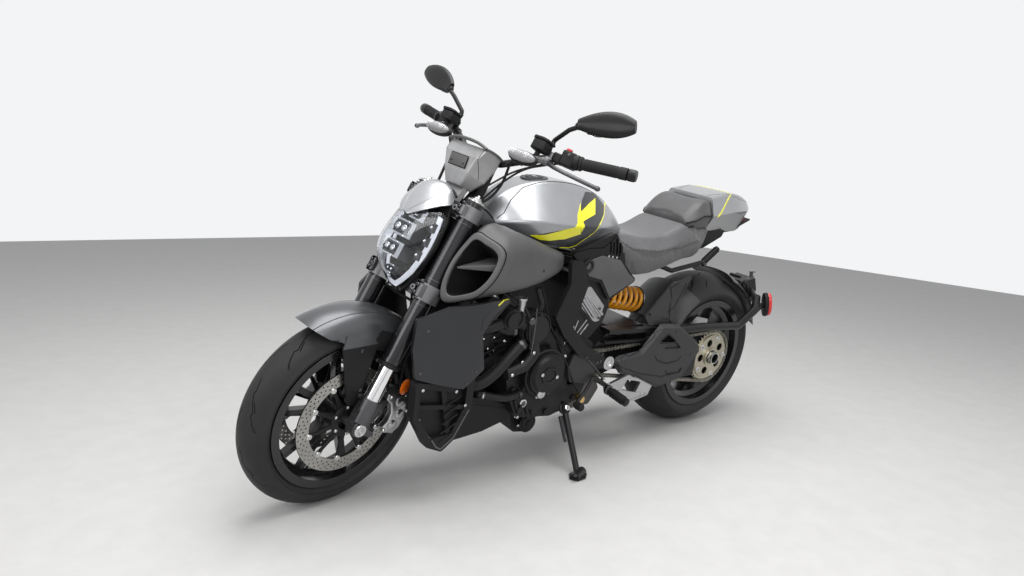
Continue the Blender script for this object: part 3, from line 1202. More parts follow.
def buildTail():
    tree = surfaceOf("tail_cowl")
    side = strip(tree, tail["stripeSide"][2:], 6.5, (0, -0.86, -0.5), 0.9, 4)
    top = strip(tree, tail["stripeSide"][:3], 6.5, (0, -0.2, -0.98), 0.9, 4)
    finished(mirrored(joined([side, top])), "tailStripes", "acidYellow")
    finished(mirrored(strip(tree, tail["crease"], 5, (0, -0.5, -0.86), 1.2, 6, taper=True)), "tailCreases", "tailPaint")
    finished(mirrored(strip(tree, tail["seam"], 2.6, (0.1, -0.98, 0.1), 0.3, 5)), "tailSeams", "seamBlack")
    # rear lamp: red blades under the tail, on a dark carrier
    carrier = cut([(-180, 886), (-60, 842), (-30, 836), (-30, 830), (-70, 834), (-186, 880)], -64, 64, 1.5)
    finished(carrier, "rearLampCarrier", "blackPlastic")
    lamps = [block((5, 11, 9), (-166 + abs(n - 3.5) * 2, (n - 3.5) * 15, 874), 1.6, (0, 20, 0)) for n in range(8)]
    finished(joined(lamps), "rearLamps", "redLens")


buildTail()
print("tail built")


# ---- belly pan, side ducts, side panels ----
lower = {
    "slots": [(712, 832, 704, 792), (697, 830, 689, 788), (682, 828, 674, 784), (667, 824, 659, 780)],
    "bolts": [(711, 782), (692, 779), (672, 776)], "bigScrew": (800, 158, 752),
}


def buildPanels():
    pan = surfaceOf("belly_pan")
    side = surfaceOf("side_panels")
    slots = [cut([(x0 + 3.2, z0), (x0 - 3.2, z0), (x1 - 3.2, z1), (x1 + 3.2, z1)], 159.2, 160.5, 0.4)
             for x0, z0, x1, z1 in lower["slots"]]
    finished(mirrored(joined(slots)), "panelSlots", "seamBlack")
    finished(mirrored(sideScrews(lower["bolts"], 160, 3.6, 2.4)), "panelBolts", "brightSteel")
    # the lower, lighter half of the side cover with its folded edge
    shape = [(792, 772), (742, 786), (652, 766), (600, 716), (560, 690), (676, 634), (726, 700), (790, 716), (812, 742)]
    plate = cut(shape, 159.6, 163.4, 2.6, segments=3)
    finished(mirrored(plate), "sideCoverPlates", "greyPlastic")
    ring = lathe([(0, 12), (0, 24), (7, 24), (9, 21), (9, 14), (6, 12)], lower["bigScrew"], steps=36)
    core = lathe([(0, 0), (0, 13), (5, 13), (5.6, 10), (2, 8), (2, 0)], lower["bigScrew"], steps=12)
    finished(mirrored(joined([ring, core])), "panelBigScrews", "satinBlack")
    groove = strip(side, [(878, 160, 798), (800, 160, 812), (742, 160, 812), (690, 160, 850)], 3, (0, -1, 0), 0.3, 6)
    finished(mirrored(groove), "panelGrooves", "seamBlack")
    # belly pan: lips and folds, then the ducts' louvres, rims and screws
    for name, points, way, width in (
            ("panLips", [(1385, 100, 170), (1250, 112, 150), (1100, 112, 160), (1010, 108, 190)], (0, -1, 0.25), 3),
            ("panFolds", [(1330, 90, 330), (1200, 112, 300), (1080, 112, 268), (1010, 110, 250)], (0, -1, 0), 4)):
        finished(mirrored(strip(pan, points, width, way, 1.4, 8)), name, "blackPlastic")
    louvres = [block((58, 4, 5), (1318 - n * 3, 205, 250 + n * 30), 1.2, (0, 28, 0)) for n in range(5)]
    finished(mirrored(joined(louvres)), "ductLouvres", "blackPlastic")
    rim = strip(pan, [(1420, 204, 330), (1352, 204, 226), (1334, 204, 214), (1292, 204, 244), (1246, 204, 330)], 5,
                (0, -1, 0), 1.6, 6)
    finished(mirrored(rim), "ductRims", "greyPlastic")
    finished(mirrored(sideScrews([(1262, 347), (1300, 398), (1418, 420)], 204, 5, 3)), "ductScrews", "brightSteel")


buildPanels()
print("panels built")


# ---- seat and backrest: padded covers ----
padding = {
    "rider_seat": {"voxel": 5, "pressure": 4.0, "cap": 6, "finish": "seatVinyl"},
    "seat_backrest": {"voxel": 5, "pressure": 4.0, "cap": 5, "finish": "padVinyl"},
}


def padOf(node, name):
    s = padding[node]
    piece = worked(node)
    piece.data.transform(mm)
    piece = applied(piece, "REMESH", mode="VOXEL", voxel_size=s["voxel"] / 1000)
    applied(piece, "CORRECTIVE_SMOOTH", iterations=4, smooth_type="LENGTH_WEIGHTED", use_only_smooth=True)
    base = [v.co.copy() for v in piece.data.vertices]
    grab(piece)
    soft = piece.modifiers.new("cover", "CLOTH")
    soft.settings.use_pressure = True
    soft.settings.uniform_pressure_force = s["pressure"]
    soft.settings.effector_weights.gravity = 0
    soft.settings.quality = 5
    soft.point_cache.frame_start, soft.point_cache.frame_end = 1, 20
    for number in range(1, 21):
        scene.frame_set(number)
    bpy.ops.object.modifier_apply(modifier=soft.name)
    scene.frame_set(1)
    limit = s["cap"] / 1000
    for vert, was in zip(piece.data.vertices, base):
        moved = vert.co - was
        if moved.length > limit:
            vert.co = was + moved * (limit / moved.length)
    piece.data.transform(Matrix.Scale(1000, 4))
    applied(piece, "SUBSURF", levels=1)
    finished(piece, name, s["finish"], smooth=60)
    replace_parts(piece, node)
    return piece


seatPad = padOf("rider_seat", "seatCover")
backPad = padOf("seat_backrest", "backrestCover")

seams = {
    "crease": [(600, 82, 828), (590, 102, 812), (547, 125, 792), (439, 146, 787), (326, 143, 796), (208, 128, 814)],
    "piping": [(286, 112, 880), (244, 134, 898), (200, 136, 916), (156, 128, 912), (148, 96, 962), (150, 50, 970),
               (150, 0, 972)],
}


def buildSeams():
    seat, back = treeIn([seatPad]), treeIn([backPad])
    finished(mirrored(strip(seat, seams["crease"], 3.4, (0, -0.86, -0.5), 1.3, 5)), "seatWelts", "padVinyl")
    points = resampled(seams["crease"], 9)
    stitches = []
    for a, b in zip(points[1::2], points[2::2]):
        spotA, normalA = hit(seat, a + Vector((0, 0, 5)), (0, -0.8, -0.6))
        spotB, normalB = hit(seat, b + Vector((0, 0, 5)), (0, -0.8, -0.6))
        ends = spotA + normalA * 0.3, spotB.lerp(spotA, 0.35) + normalB * 0.3
        stitches.append(barrel(*ends, 0.75, 6))
    finished(mirrored(joined(stitches)), "seatStitches", "thread")
    finished(mirrored(strip(back, seams["piping"], 6, (0.3, -0.8, -0.5), 3.0, 5)), "backrestPiping", "blackPlastic")
    front = strip(back, [(300, 100, 876), (296, 112, 866), (270, 126, 866), (250, 132, 872)], 4, (-0.4, -0.9, 0), 2, 5)
    finished(mirrored(front), "backrestLowerPiping", "blackPlastic")


buildSeams()
print("seat built")


# ---- engine: covers, bolts, hoses, wires, ribs, filter ----
engine = {
    "alternator": (935, 0, 396), "clutch": (850, 0, 380), "pump": (1010, 0, 560), "camCap": (1160, 138, 520),
    "pivot": (646, 184, 396),
    "coverBolts": [(1053, 456), (1016, 486), (1093, 421), (829, 433), (839, 482), (801, 374), (950, 310), (880, 305),
                   (1016, 330)],
    "headBolts": [(1172, 489), (1126, 484), (1093, 513)],
    "sumpBolts": [(1000, 228, 146), (905, 178, 108), (948, 170, 108), (1010, 196, 140)],
}


def sideTree():
    return surfaceOf("engine_crankcase", "engine_cylinders", "engine_side_covers", "coolant_circuit")


def buildCovers():
    tree = sideTree()
    # left cover: raised rim, hexagon ring with two plugs
    rims = [lathe(profile, engine["alternator"], steps=72) for profile in (
        [(176, 78), (176, 84.6), (181, 84.6), (184, 81), (184, 78)],
        [(189, 60), (189, 72.6), (192.5, 71.5), (192.5, 62)],
        [(184.6, 74), (184.6, 76.5), (186.2, 76.5), (186.2, 74)])]
    finished(joined(rims), "alternatorRims", "castBlack")
    middle = engine["alternator"][::2]
    outer, inner = ringPoints(37, 6, middle, 12, 31 / 37), ringPoints(29, 6, middle, 12, 24 / 29)
    verts, faces = [(x, depth, z) for depth in (202.5, 206.5) for x, z in outer + inner], []
    for n in range(6):
        m = (n + 1) % 6
        faces += [(n, m, 6 + m, 6 + n), (12 + n, 12 + m, 18 + m, 18 + n), (n, m, 12 + m, 12 + n),
                  (6 + n, 6 + m, 18 + m, 18 + n)]
    finished(softEdges(outward(meshOf(verts, faces)), 1.0, 2, 25), "alternatorPlate", "satinBlack")
    finished(sideScrews([(968, 404), (903, 388)], 205, 6.2, 3.5), "alternatorPlugs", "brightSteel")
    # right cover: clutch rim, cap screws
    clutch = lathe([(-196, 70), (-196, 82.6), (-199.5, 80), (-199.5, 72)], engine["clutch"], steps=72)
    hubRing = lathe([(-202, 46), (-202, 56.5), (-205, 55), (-205, 47)], engine["clutch"], steps=60)
    finished(joined([clutch, hubRing]), "clutchRims", "castBlack")
    around = ringPoints(90, 9, engine["clutch"][::2])
    finished(boltsOn(tree, around, -178, 5.4, 4.5, (0, 1, 0)), "clutchBolts", "brightSteel")
    for name, radius, height in (("cover", 5.8, 4.5), ("head", 6.2, 5), ("sump", 6, 4.5)):
        finished(boltsOn(tree, engine[name + "Bolts"], 190, radius, height), name + "BoltsLeft", "brightSteel")
    # oil level window with its bright ring, and a broad drain plug
    spot, _ = hit(tree, (987, 150, 283), (0, -1, 0))
    ring = lathe([(-2, 9), (-2, 15), (4, 15), (5.5, 13), (5.5, 10), (3, 9)], spot, steps=36)
    finished(ring, "oilWindowRing", "brightSteel")
    finished(lathe([(-2, 0), (-2, 9.4), (3.2, 9.4), (3.6, 0)], spot, steps=28), "oilWindow", "screenDark")
    spot, _ = hit(tree, (948, 165, 328), (0, -1, 0))
    plug = lathe([(-4, 0), (-4, 17), (3, 17), (5, 14), (5, 6), (3, 5), (3, 0)], spot, steps=8)
    finished(plug, "drainPlug", "bareAlloy")


buildCovers()


def buildHoses():
    # moulded coolant hoses and their band clamps, seen on the left between the cowl and the crankcase
    runs = [
        ([(1236, 118, 640), (1180, 150, 622), (1150, 168, 580), (1120, 176, 560), (1086, 178, 560)], 15),
        ([(1262, 120, 372), (1200, 168, 380), (1140, 182, 430), (1090, 186, 490), (1052, 184, 520)], 19),
        ([(1180, 150, 350), (1120, 168, 332), (1060, 170, 322), (1010, 160, 330)], 12),
    ]
    hoses, bands, screwsMade = [], [], []
    for points, radius in runs:
        hoses.append(tube(points, radius, 6))
        for n, m in ((0, 1), (-1, -2)):
            a, b = Vector(points[n]), Vector(points[m])
            spot = a.lerp(b, 0.25)
            way = (b - a).normalized()
            bands.append(lathe([(-5, radius + 0.4), (-5, radius + 2), (5, radius + 2), (5, radius + 0.4)], spot, way,
                               36))
            side = way.cross(Vector((0, 0, 1))).normalized()
            ends = [spot + side * radius + Vector((0, 0, z)) for z in (-7, 7)]
            screwsMade.append(barrel(*ends, 3.6, 12, 0.6))
    finished(joined(hoses), "coolantHoses", "hoseRubber")
    finished(joined(bands), "hoseBands", "darkSteel")
    finished(joined(screwsMade), "hoseBandScrews", "brightSteel")
    # belt of small pipes and cables between the intake and the pump
    wires = [
        [(1150, 150, 690), (1080, 172, 640), (1040, 190, 610), (1030, 198, 560), (1034, 200, 500)],
        [(1100, 150, 672), (1060, 180, 640), (1052, 202, 600), (1044, 203, 520), (1000, 196, 470)],
        [(980, 150, 690), (960, 160, 640), (930, 158, 560), (880, 156, 500), (850, 156, 470)],
        [(880, 150, 500), (850, 160, 440), (820, 162, 400), (790, 168, 340), (760, 170, 300)],
        [(1240, 126, 540), (1180, 140, 520), (1140, 140, 470), (1120, 150, 420), (1140, 150, 380)],
    ]
    finished(joined([tube(w, 3.2, 3) for w in wires]), "engineCables", "hoseRubber")
    finished(tube([(1032, 204, 636), (1031, 206, 590), (1030, 207, 540), (1032, 206, 484)], 1.6, 3), "sensorLead",
             "greyPlastic")
    # pump body: face bolts, collars, filler neck
    pumpX, _, pumpZ = engine["pump"]
    around = [math.radians(60 + 62 * n) for n in range(5)]
    spots = [(pumpX + 46 * math.cos(a), pumpZ + 46 * math.sin(a)) for a in around]
    finished(boltsOn(sideTree(), spots, 198, 4.6, 4), "pumpBolts", "darkSteel")
    collars = [lathe(profile, engine["pump"], steps=60) for profile in (
        [(141, 56), (141, 58.6), (150, 58.6), (150, 56)], [(186, 54), (186, 57.6), (192, 57.6), (192, 54)])]
    finished(joined(collars), "pumpCollars", "blackPlastic")
    neck = lathe([(0, 10), (0, 19), (10, 19), (14, 15), (50, 15), (54, 18), (60, 18), (60, 10)], (1068, 168, 604),
                 (0, 0, 1), 40)
    finished(neck, "fillerNeck", "bareAlloy")
    nut = lathe([(0, 0), (0, 13), (16, 13), (18, 11), (18, 0)], (1046, 192, 596), (0, 1, 0), 6)
    finished(nut, "sensorNut", "darkSteel")


buildHoses()
print("engine covers and hoses built")


def buildCylinders():
    paintFaces("engine_cylinders", "coverSilver", onBike,
               lambda p, n: abs(p.y) > 146.3 and 545 < p.z < 680 and p.x < 822)
    # silver ribbed plate over the rear cylinder and the dark ribbed panel ahead of it
    ribs = []
    start, end = Vector((792, 0, 648)), Vector((712, 0, 566))
    along = (end - start).normalized()
    side = Vector((along.z, 0, -along.x))
    for n, shift in enumerate((-24, -14, -4, 6)):
        a, b = start + side * shift + along * (6 + 3 * n), end + side * shift - along * (10 - 2 * n)
        ribs.append(barrel((a.x, 160.5, a.z), (b.x, 160.5, b.z), 2.6, 8))
    finished(mirrored(joined(ribs)), "headPlateRibs", "coverSilver")
    finished(mirrored(sideScrews([(806, 666), (704, 560), (712, 596)], 160, 5, 3)), "headPlateBolts", "darkSteel")
    panel = [(884, 600), (846, 634), (800, 590), (762, 548), (770, 470), (820, 440), (896, 520)]
    body = cut(panel, 146, 153, 3, segments=3)
    finished(mirrored(body), "cylinderPanels", "castBlack")
    cuts = []
    for x0, z0, x1, z1 in ((857, 540, 830, 591), (840, 536, 818, 576), (809, 524, 798, 559), (795, 513, 758, 558),
                           (780, 506, 752, 540), (828, 512, 812, 540), (763, 523, 749, 543)):
        a, b = Vector((x0, 154, z0)), Vector((x1, 154, z1))
        cuts.append(block(((b - a).length, 3, 4.4), (a + b) / 2, 0.9,
                          (0, -math.degrees(math.atan2(z1 - z0, x1 - x0)), 0)))
    finished(mirrored(joined(cuts)), "cylinderFins", "bareAlloy")
    # front cylinder: cooling ribs and a cam cap
    fins = [cut([(1140 - n * 9, 590 - n * 20), (1224 - n * 9, 552 - n * 20), (1222 - n * 9, 547 - n * 20),
                 (1138 - n * 9, 585 - n * 20)], 122, 146, 0.8) for n in range(6)]
    finished(mirrored(joined(fins)), "frontFins", "castBlack")
    cap = lathe([(0, 0), (0, 30), (5, 30), (8, 26), (8, 9), (5, 8), (5, 0)], engine["camCap"], steps=40)
    finished(mirrored(cap), "camCaps", "castBlack")
    around = ringPoints(23, 3, engine["camCap"][::2], 30)
    finished(mirrored(sideScrews(around, 146, 3.4, 2.6)), "camCapBolts", "brightSteel")
    # oil filter: faceted cup
    filterCup = lathe([(-2, 0), (-2, 33), (3, 35), (4, 30), (8, 29), (8, 12), (12, 12), (12, 0)], (916, 108, 178),
                      (0, 1, 0), 18)
    finished(filterCup, "filterEnd", "satinBlack")
    # frame pivot: silver disc with its bolt
    for name, profile, finish, sides in (
            ("pivotDiscs", [(0, 12), (0, 25), (3.2, 25), (4.6, 22), (4.6, 14), (3, 12)], "bareAlloy", 40),
            ("pivotBolts", [(0, 0), (0, 12.6), (5.4, 12.6), (6.4, 10), (3, 8), (3, 0)], "brightSteel", 12)):
        finished(mirrored(lathe(profile, engine["pivot"], steps=sides)), name, finish)


buildCylinders()
print("cylinders built")


def buildFrameParts():
    spots = [(700, 470), (720, 352), (760, 430), (612, 344), (640, 480)]
    bolts = boltsOn(surfaceOf("frame_plates"), spots, 184, 5, 3.5, least=150)
    finished(mirrored(bolts), "framePlateBolts", "darkSteel")
    bolts = boltsOn(surfaceOf("main_frame"), [(960, 650), (1060, 700), (1120, 760)], 160, 6, 4, least=40)
    finished(mirrored(bolts), "mainFrameBolts", "darkSteel")
    # radiator: vertical fin pack and the rails round it
    fins = [block((5, 1.3, 300), (1287, -123 + n * 6, 500)) for n in range(42)]
    finished(joined(fins), "radiatorFins", "radiatorFin")
    rails = [block((8, 6, 318), (1285, y, 500), 1.5) for y in (-127, 127)]
    rails += [block((8, 256, 5), (1285, 0, z), 1.5) for z in (342, 658)]
    finished(joined(rails), "radiatorRails", "blackPlastic")


buildFrameParts()
print("frame details built")


# ---- chain: every link, rollers and pins, on its own run round both sprockets ----
chainRun = {"pitch": 15.875, "y": 133, "front": (735, 385, 38.18), "rear": (0, 324, 108.8)}


def chainPath():
    fx, fz, fr = chainRun["front"]
    rx, rz, rr = chainRun["rear"]
    gap = Vector((fx - rx, 0, fz - rz))
    base = math.atan2(gap.z, gap.x)
    tilt = math.asin((rr - fr) / gap.length)
    pts = []
    top, low = base + math.pi / 2 - tilt, base - math.pi / 2 + tilt
    for n in range(161):
        a = top + (2 * math.pi - (top - low)) * n / 160
        pts.append(Vector((rx + rr * math.cos(a), 0, rz + rr * math.sin(a))))
    for n in range(161):
        a = low + (top - low) * n / 160
        pts.append(Vector((fx + fr * math.cos(a), 0, fz + fr * math.sin(a))))
    pts.append(pts[0])
    return pts


def linkPlate(low, high, radius, waist):
    half = chainRun["pitch"] / 2
    outline = []
    for side, start in ((1, -110), (-1, 70)):
        for a in [math.radians(start + 220 * n / 8) for n in range(9)]:
            outline.append((side * half + radius * math.cos(a), radius * math.sin(a)))
        outline.append((0, side * waist))
    return cut(outline, low, high, 0.35, segments=1)


def buildChain():
    pts = chainPath()
    lengths = [0]
    for a, b in zip(pts, pts[1:]):
        lengths.append(lengths[-1] + (b - a).length)
    count = 2 * round(lengths[-1] / chainRun["pitch"] / 2)

    def at(distance):
        distance %= lengths[-1]
        n = next(i for i in range(1, len(lengths)) if lengths[i] >= distance)
        return pts[n - 1].lerp(pts[n], (distance - lengths[n - 1]) / (lengths[n] - lengths[n - 1]))

    places = ([], [])
    for n in range(count):
        a, b = at(lengths[-1] * n / count), at(lengths[-1] * (n + 1) / count)
        mid, way = (a + b) / 2, (b - a).normalized()
        m = Matrix((way, Vector((0, 1, 0)), way.cross(Vector((0, 1, 0))))).transposed().to_4x4()
        m.translation = Vector((mid.x, chainRun["y"], mid.z))
        places[n % 2].append(m)
    half = chainRun["pitch"] / 2
    outer = joined([linkPlate(6.0, 7.6, 6.6, 4.6), linkPlate(-7.6, -6.0, 6.6, 4.6)]
                   + [barrel((side * half, -9, 0), (side * half, 9, 0), 2.6, 10, 0.4) for side in (-1, 1)])
    inner = joined([linkPlate(4.2, 5.7, 6.9, 5.0), linkPlate(-5.7, -4.2, 6.9, 5.0)]
                   + [barrel((side * half, -4.1, 0), (side * half, 4.1, 0), 5.0, 12, 0.4) for side in (-1, 1)])
    links = joined([copies(outer, places[0]), copies(inner, places[1])])
    finished(links, "chainLinks", "chainSteel")
    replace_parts(links, "chain")


buildChain()
print("chain built")


# ---- shock: progressive coil, damper body, collars, eyes ----
shock = {"start": Vector((596, 20, 599.3)), "end": Vector((364, 20, 556.8)), "coil": 42, "wire": 7.2, "turns": 6.4}


def buildShock():
    a, b = shock["start"], shock["end"]
    way = (b - a).normalized()
    side = Vector((0, 1, 0))
    up = side.cross(way).normalized()
    first, last = a + way * 26, b - way * 22
    steps = int(shock["turns"] * 28)
    path = []
    for n in range(steps + 1):
        t = n / steps
        angle = 2 * math.pi * shock["turns"] * t
        along = t * t * (3 - 2 * t) * 0.12 + t * 0.88
        path.append(first.lerp(last, along) + (side * math.cos(angle) + up * math.sin(angle)) * shock["coil"])
    coil = tube(path, shock["wire"], 4, flow=False)
    finished(coil, "shockSpring", "springYellow", smooth=70)
    long = (b - a).length
    body = [
        lathe([(12, 0), (12, 26), (16, 30), (70, 30), (74, 26), (74, 0)], a, way, 40),
        lathe([(60, 0), (60, 9), (long - 30, 9), (long - 30, 0)], a, way, 24),
        lathe([(long - 40, 0), (long - 40, 22), (long - 18, 26), (long - 12, 22), (long - 12, 0)], a, way, 36),
    ]
    finished(joined(body), "shockDamper", "forkBlack")
    rings = [lathe([(f, 12), (f, 51), (f + 3, 53), (f + 6, 51), (f + 6, 12)], a, way, 48) for f in (17, long - 25)]
    adjust = lathe([(6, 18), (6, 33), (14, 33), (14, 18)], a, way, 14)
    finished(joined([*rings, adjust]), "shockCollars", "darkSteel")
    eyes = [lathe([(-16, 6), (-16, 17), (16, 17), (16, 6)], p, (0, 1, 0), 32) for p in (a, b)]
    eyes.append(barrel(a, a + way * 18, 10, 20, 1))
    eyes.append(barrel(b, b - way * 18, 10, 20, 1))
    eyes += [barrel(p - side * 20, p + side * 20, 6.5, 6, 0.8) for p in (a, b)]
    whole = finished(joined(eyes), "shockEyes", "bareAlloy")
    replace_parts(whole, "rear_shock")


buildShock()
print("shock built")


# ---- swingarm covers, hugger folds, pockets, chain guard ----
arm = {
    "window": [(346, 475), (294, 441), (302, 433), (384, 440), (384, 452), (346, 475)],
    "smile": [(400, 392), (384, 372), (326, 352), (262, 356), (244, 372)],
    "fold": [(598, 396), (500, 424), (430, 470), (384, 498)],
    "foldLow": [(598, 380), (470, 330), (340, 300), (230, 310)],
}


def buildArm():
    tree = surfaceOf("swingarm_covers")
    window = cut([(344, 470), (300, 441), (306, 437), (378, 444), (378, 450)], 183.2, 184.8, 0.6)
    finished(window, "coverWindowLeft", "seamBlack")
    folds = [strip(tree, [(x, 184, z) for x, z in arm[line]], width, (0, -1, 0), lift, step, taper=line != "window")
             for line, width, lift, step in (("window", 3.2, 1.4, 5), ("smile", 6, 1.4, 5), ("fold", 4.5, 1.2, 6),
                                             ("foldLow", 4.5, 1.2, 6))]
    finished(joined(folds), "coverFoldsLeft", "blackPlastic")
    finished(boltsOn(tree, [(575, 396), (182, 372), (300, 476)], 184, 5.5, 3), "coverScrewsLeft", "darkSteel")
    hug = surfaceOf("plate_carrier", "swingarm_covers")
    lines = [
        [(372, 152, 672), (347, 152, 644), (330, 152, 600), (326, 152, 560), (322, 152, 520)],
        [(347, 152, 644), (300, 152, 664)], [(372, 152, 530), (322, 152, 518), (300, 152, 500)],
    ]
    made = [strip(hug, line, 4.5, (0, -1, 0), 1.5, 6, taper=True) for line in lines]
    finished(joined(made), "huggerFolds", "blackPlastic")
    finished(boltsOn(hug, [(437, 548)], 152, 6, 3), "huggerScrew", "satinBlack")
    # swingarm beam: pockets, chain guard rail and the plate at the axle's right end
    pockets = [cut([(x + 26, z + 6), (x - 22, z + 3), (x - 8, z - 10), (x + 22, z - 8)], 134, 135.4, 0.5)
               for x, z in ((560, 470), (500, 462))]
    finished(joined(pockets), "armPockets", "seamBlack")
    guard = cut([(640, 462), (400, 446), (210, 452), (206, 444), (400, 436), (640, 450)], 120, 146, 2.5)
    finished(guard, "chainGuard", "blackPlastic")
    finished(block((70, 6, 46), (0, -137, 324), 4), "axlePlateRight", "castBlack")


buildArm()
print("swingarm covers built")


# ---- plate bracket: lamps, rails, cable hook, reflector ----
def buildPlate():
    # the red lamp at the tube's end, in its dark housing
    out = Vector((-0.80, 0.58, 0.16)).normalized()
    spot = Vector((-322, 128, 520))
    ring = cut(ringPoints(30, 28, stretch=1.75), 0, 16, 3)
    lens = cut(ringPoints(28, 28, stretch=1.78), 14, 30, 5, segments=3)
    for piece, name, finish in ((ring, "plateLampHousing", "blackPlastic"), (lens, "plateLampLens", "redLens")):
        settled(piece)
        side = out.cross(Vector((0, 0, 1))).normalized()
        m = Matrix((side, out, side.cross(out))).transposed().to_4x4()
        m.translation = spot
        piece.data.transform(m)
        outward(piece)
        finished(piece, name, finish)
    arms = tube([(-150, 150, 462), (-236, 144, 492), (-286, 132, 512), (-318, 128, 520)], 12, 5)
    finished(arms, "plateLampArm", "satinBlack")
    # number plate: blank, framed, with its white lamp above and bolts
    frameTube = tube([(-262, 62, 600), (-302, 62, 540), (-352, 62, 466)], 4, 3)
    finished(mirrored(frameTube), "plateFrameRails", "satinBlack")
    across = [barrel((x, -62, z), (x, 62, z), 3.6, 12) for x, z in ((-264, 598), (-350, 468))]
    finished(joined(across), "plateCrossBars", "satinBlack")
    lamp = block((18, 52, 12), (-262, 0, 618), 3)
    finished(lamp, "plateLamp", "blackPlastic")
    glass = block((8, 40, 4), (-270, 0, 611), 1.2)
    finished(glass, "plateLampGlass", "chrome")
    hooks = [tube([(-246, 40, 588), (-238, 62, 610), (-262, 78, 634), (-278, 78, 634)], 4.5, 4)]
    hooks += [barrel((-250 - n * 9, 78, 634), (-250 - n * 9, 78, 656 - n * 2), 2.6, 8) for n in range(3)]
    hooks.append(block((34, 10, 5), (-262, 78, 656), 1.4))
    finished(joined(hooks), "cableHook", "darkSteel")
    reflector = block((5, 46, 20), (-366, 0, 488), 2, (0, -30, 0))
    finished(reflector, "plateReflector", "redLens")


buildPlate()


def buildPegsRear():
    # folded passenger pegs: rubber ribs and a hinge pin
    a, b = Vector((150, 122, 726)), Vector((82, 124, 779))
    way = (b - a).normalized()
    rings = [lathe([(n * 10, 10.4), (n * 10 + 1, 13.4), (n * 10 + 5, 13.4), (n * 10 + 6, 10.4)], a + way * 8, way, 20)
             for n in range(8)]
    finished(mirrored(joined(rings)), "passengerPegRibs", "gripRubber")
    pins = barrel((153, 104, 723), (153, 140, 723), 7, 16, 1)
    finished(mirrored(pins), "passengerPegPins", "darkSteel")


buildPegsRear()
print("rear bracket built")


# ---- rear brake: caliper bolts and hose ----
def buildRearBrake():
    bolts = boltsOn(surfaceOf("rear_caliper"), [(-90, 240), (-40, 220), (-66, 250)], -160, 6, 4, (0, 1, 0))
    finished(bolts, "rearCaliperBolts", "darkSteel")
    hose = tube([(-60, -128, 260), (40, -120, 352), (200, -112, 392), (420, -104, 430), (600, -96, 470)], 4.2, 4)
    finished(hose, "rearBrakeHose", "hoseRubber")


buildRearBrake()
print("rear brake built")


# ---- foot controls: ribbed pegs, lever rubbers, shift rod, bracket bolts ----
def buildFoot():
    paintFaces("foot_controls", "satinBlack", onBike,
               lambda p, n: abs(p.y) > 159 or (p.x > 612) or (p.x < 604 and p.x > 570 and abs(p.y) > 158.5))
    a, b = Vector((591, 176, 270)), Vector((588, 242, 262))
    way = (b - a).normalized()
    pads = [lathe([(n * 9, 14), (n * 9 + 1.2, 17.6), (n * 9 + 5, 17.6), (n * 9 + 6.2, 14)], a, way, 24)
            for n in range(7)]
    finished(mirrored(joined(pads)), "footPegRibs", "gripRubber")
    ends = lathe([(-2, 0), (-2, 15.4), (4, 15.4), (7, 11), (7, 0)], b + way * 4, way, 24)
    finished(mirrored(ends), "footPegEnds", "satinBlack")
    collars = lathe([(0, 6), (0, 19), (10, 19), (12, 16), (12, 6)], (598, 158, 276), (0, 1, 0), 30)
    finished(mirrored(collars), "footPegCollars", "darkSteel")
    # gear lever: rubber toe piece, pivot bolt, shift rod with joints
    toeAt = {"at": (780, 192, 262), "steps": 20}
    toe = [lathe([(0, 0), (0, 11), (1.5, 13), (30, 13), (33, 10), (33, 0)], **toeAt)]
    toe += [lathe([(low, 12), (low, 14.2), (low + 3, 14.2), (low + 3, 12)], **toeAt) for low in (5, 11, 17, 23)]
    finished(joined(toe), "gearToeRubber", "gripRubber")
    pedal = block((46, 32, 9), (792, -206, 268), 3)
    studs = [barrel((x, y, 272), (x, y, 275), 2, 8) for x in (776, 786, 796, 806) for y in (-215, -206, -197)]
    finished(joined([pedal, *studs]), "brakePedalPad", "satinBlack")
    rodEnds = (640, 166, 330), (766, 166, 446)
    rod = barrel(*rodEnds, 4.2, 12)
    ends = [ball(p, 8.5) for p in rodEnds]
    nuts = [barrel((650 + n * 98, 166, 339 + n * 90), (658 + n * 98, 166, 346.5 + n * 90), 6, 6, 0.6) for n in (0, 1)]
    finished(joined([rod, *ends, *nuts]), "shiftRod", "darkSteel")
    finished(sideScrews([(640, 330), (766, 446)], 172, 5, 3), "shiftRodBolts", "brightSteel")
    # gold adjuster beside the lever, and the bolts of the cast bracket
    gold = lathe([(0, 0), (0, 13), (4, 15), (22, 15), (26, 11), (26, 0)], (736, 150, 264), (0, 1, 0), 24)
    finished(gold, "goldAdjuster", "goldAlloy")
    tree = surfaceOf("foot_controls")
    bolts = boltsOn(tree, [(594, 300), (486, 296), (352, 276), (404, 226)], 158, 5.5, 3.5)
    finished(mirrored(bolts), "bracketBolts", "brightSteel")
    web = [strip(tree, [(x, 158, z) for x, z in line], 6, (0, -1, 0), 2.4, 8)
           for line in ([(612, 288), (500, 316), (470, 300), (344, 284)], [(560, 244), (470, 208), (376, 222)],
                        [(540, 262), (452, 240), (404, 232)])]
    finished(mirrored(joined(web)), "bracketRibs", "bareAlloy")


buildFoot()


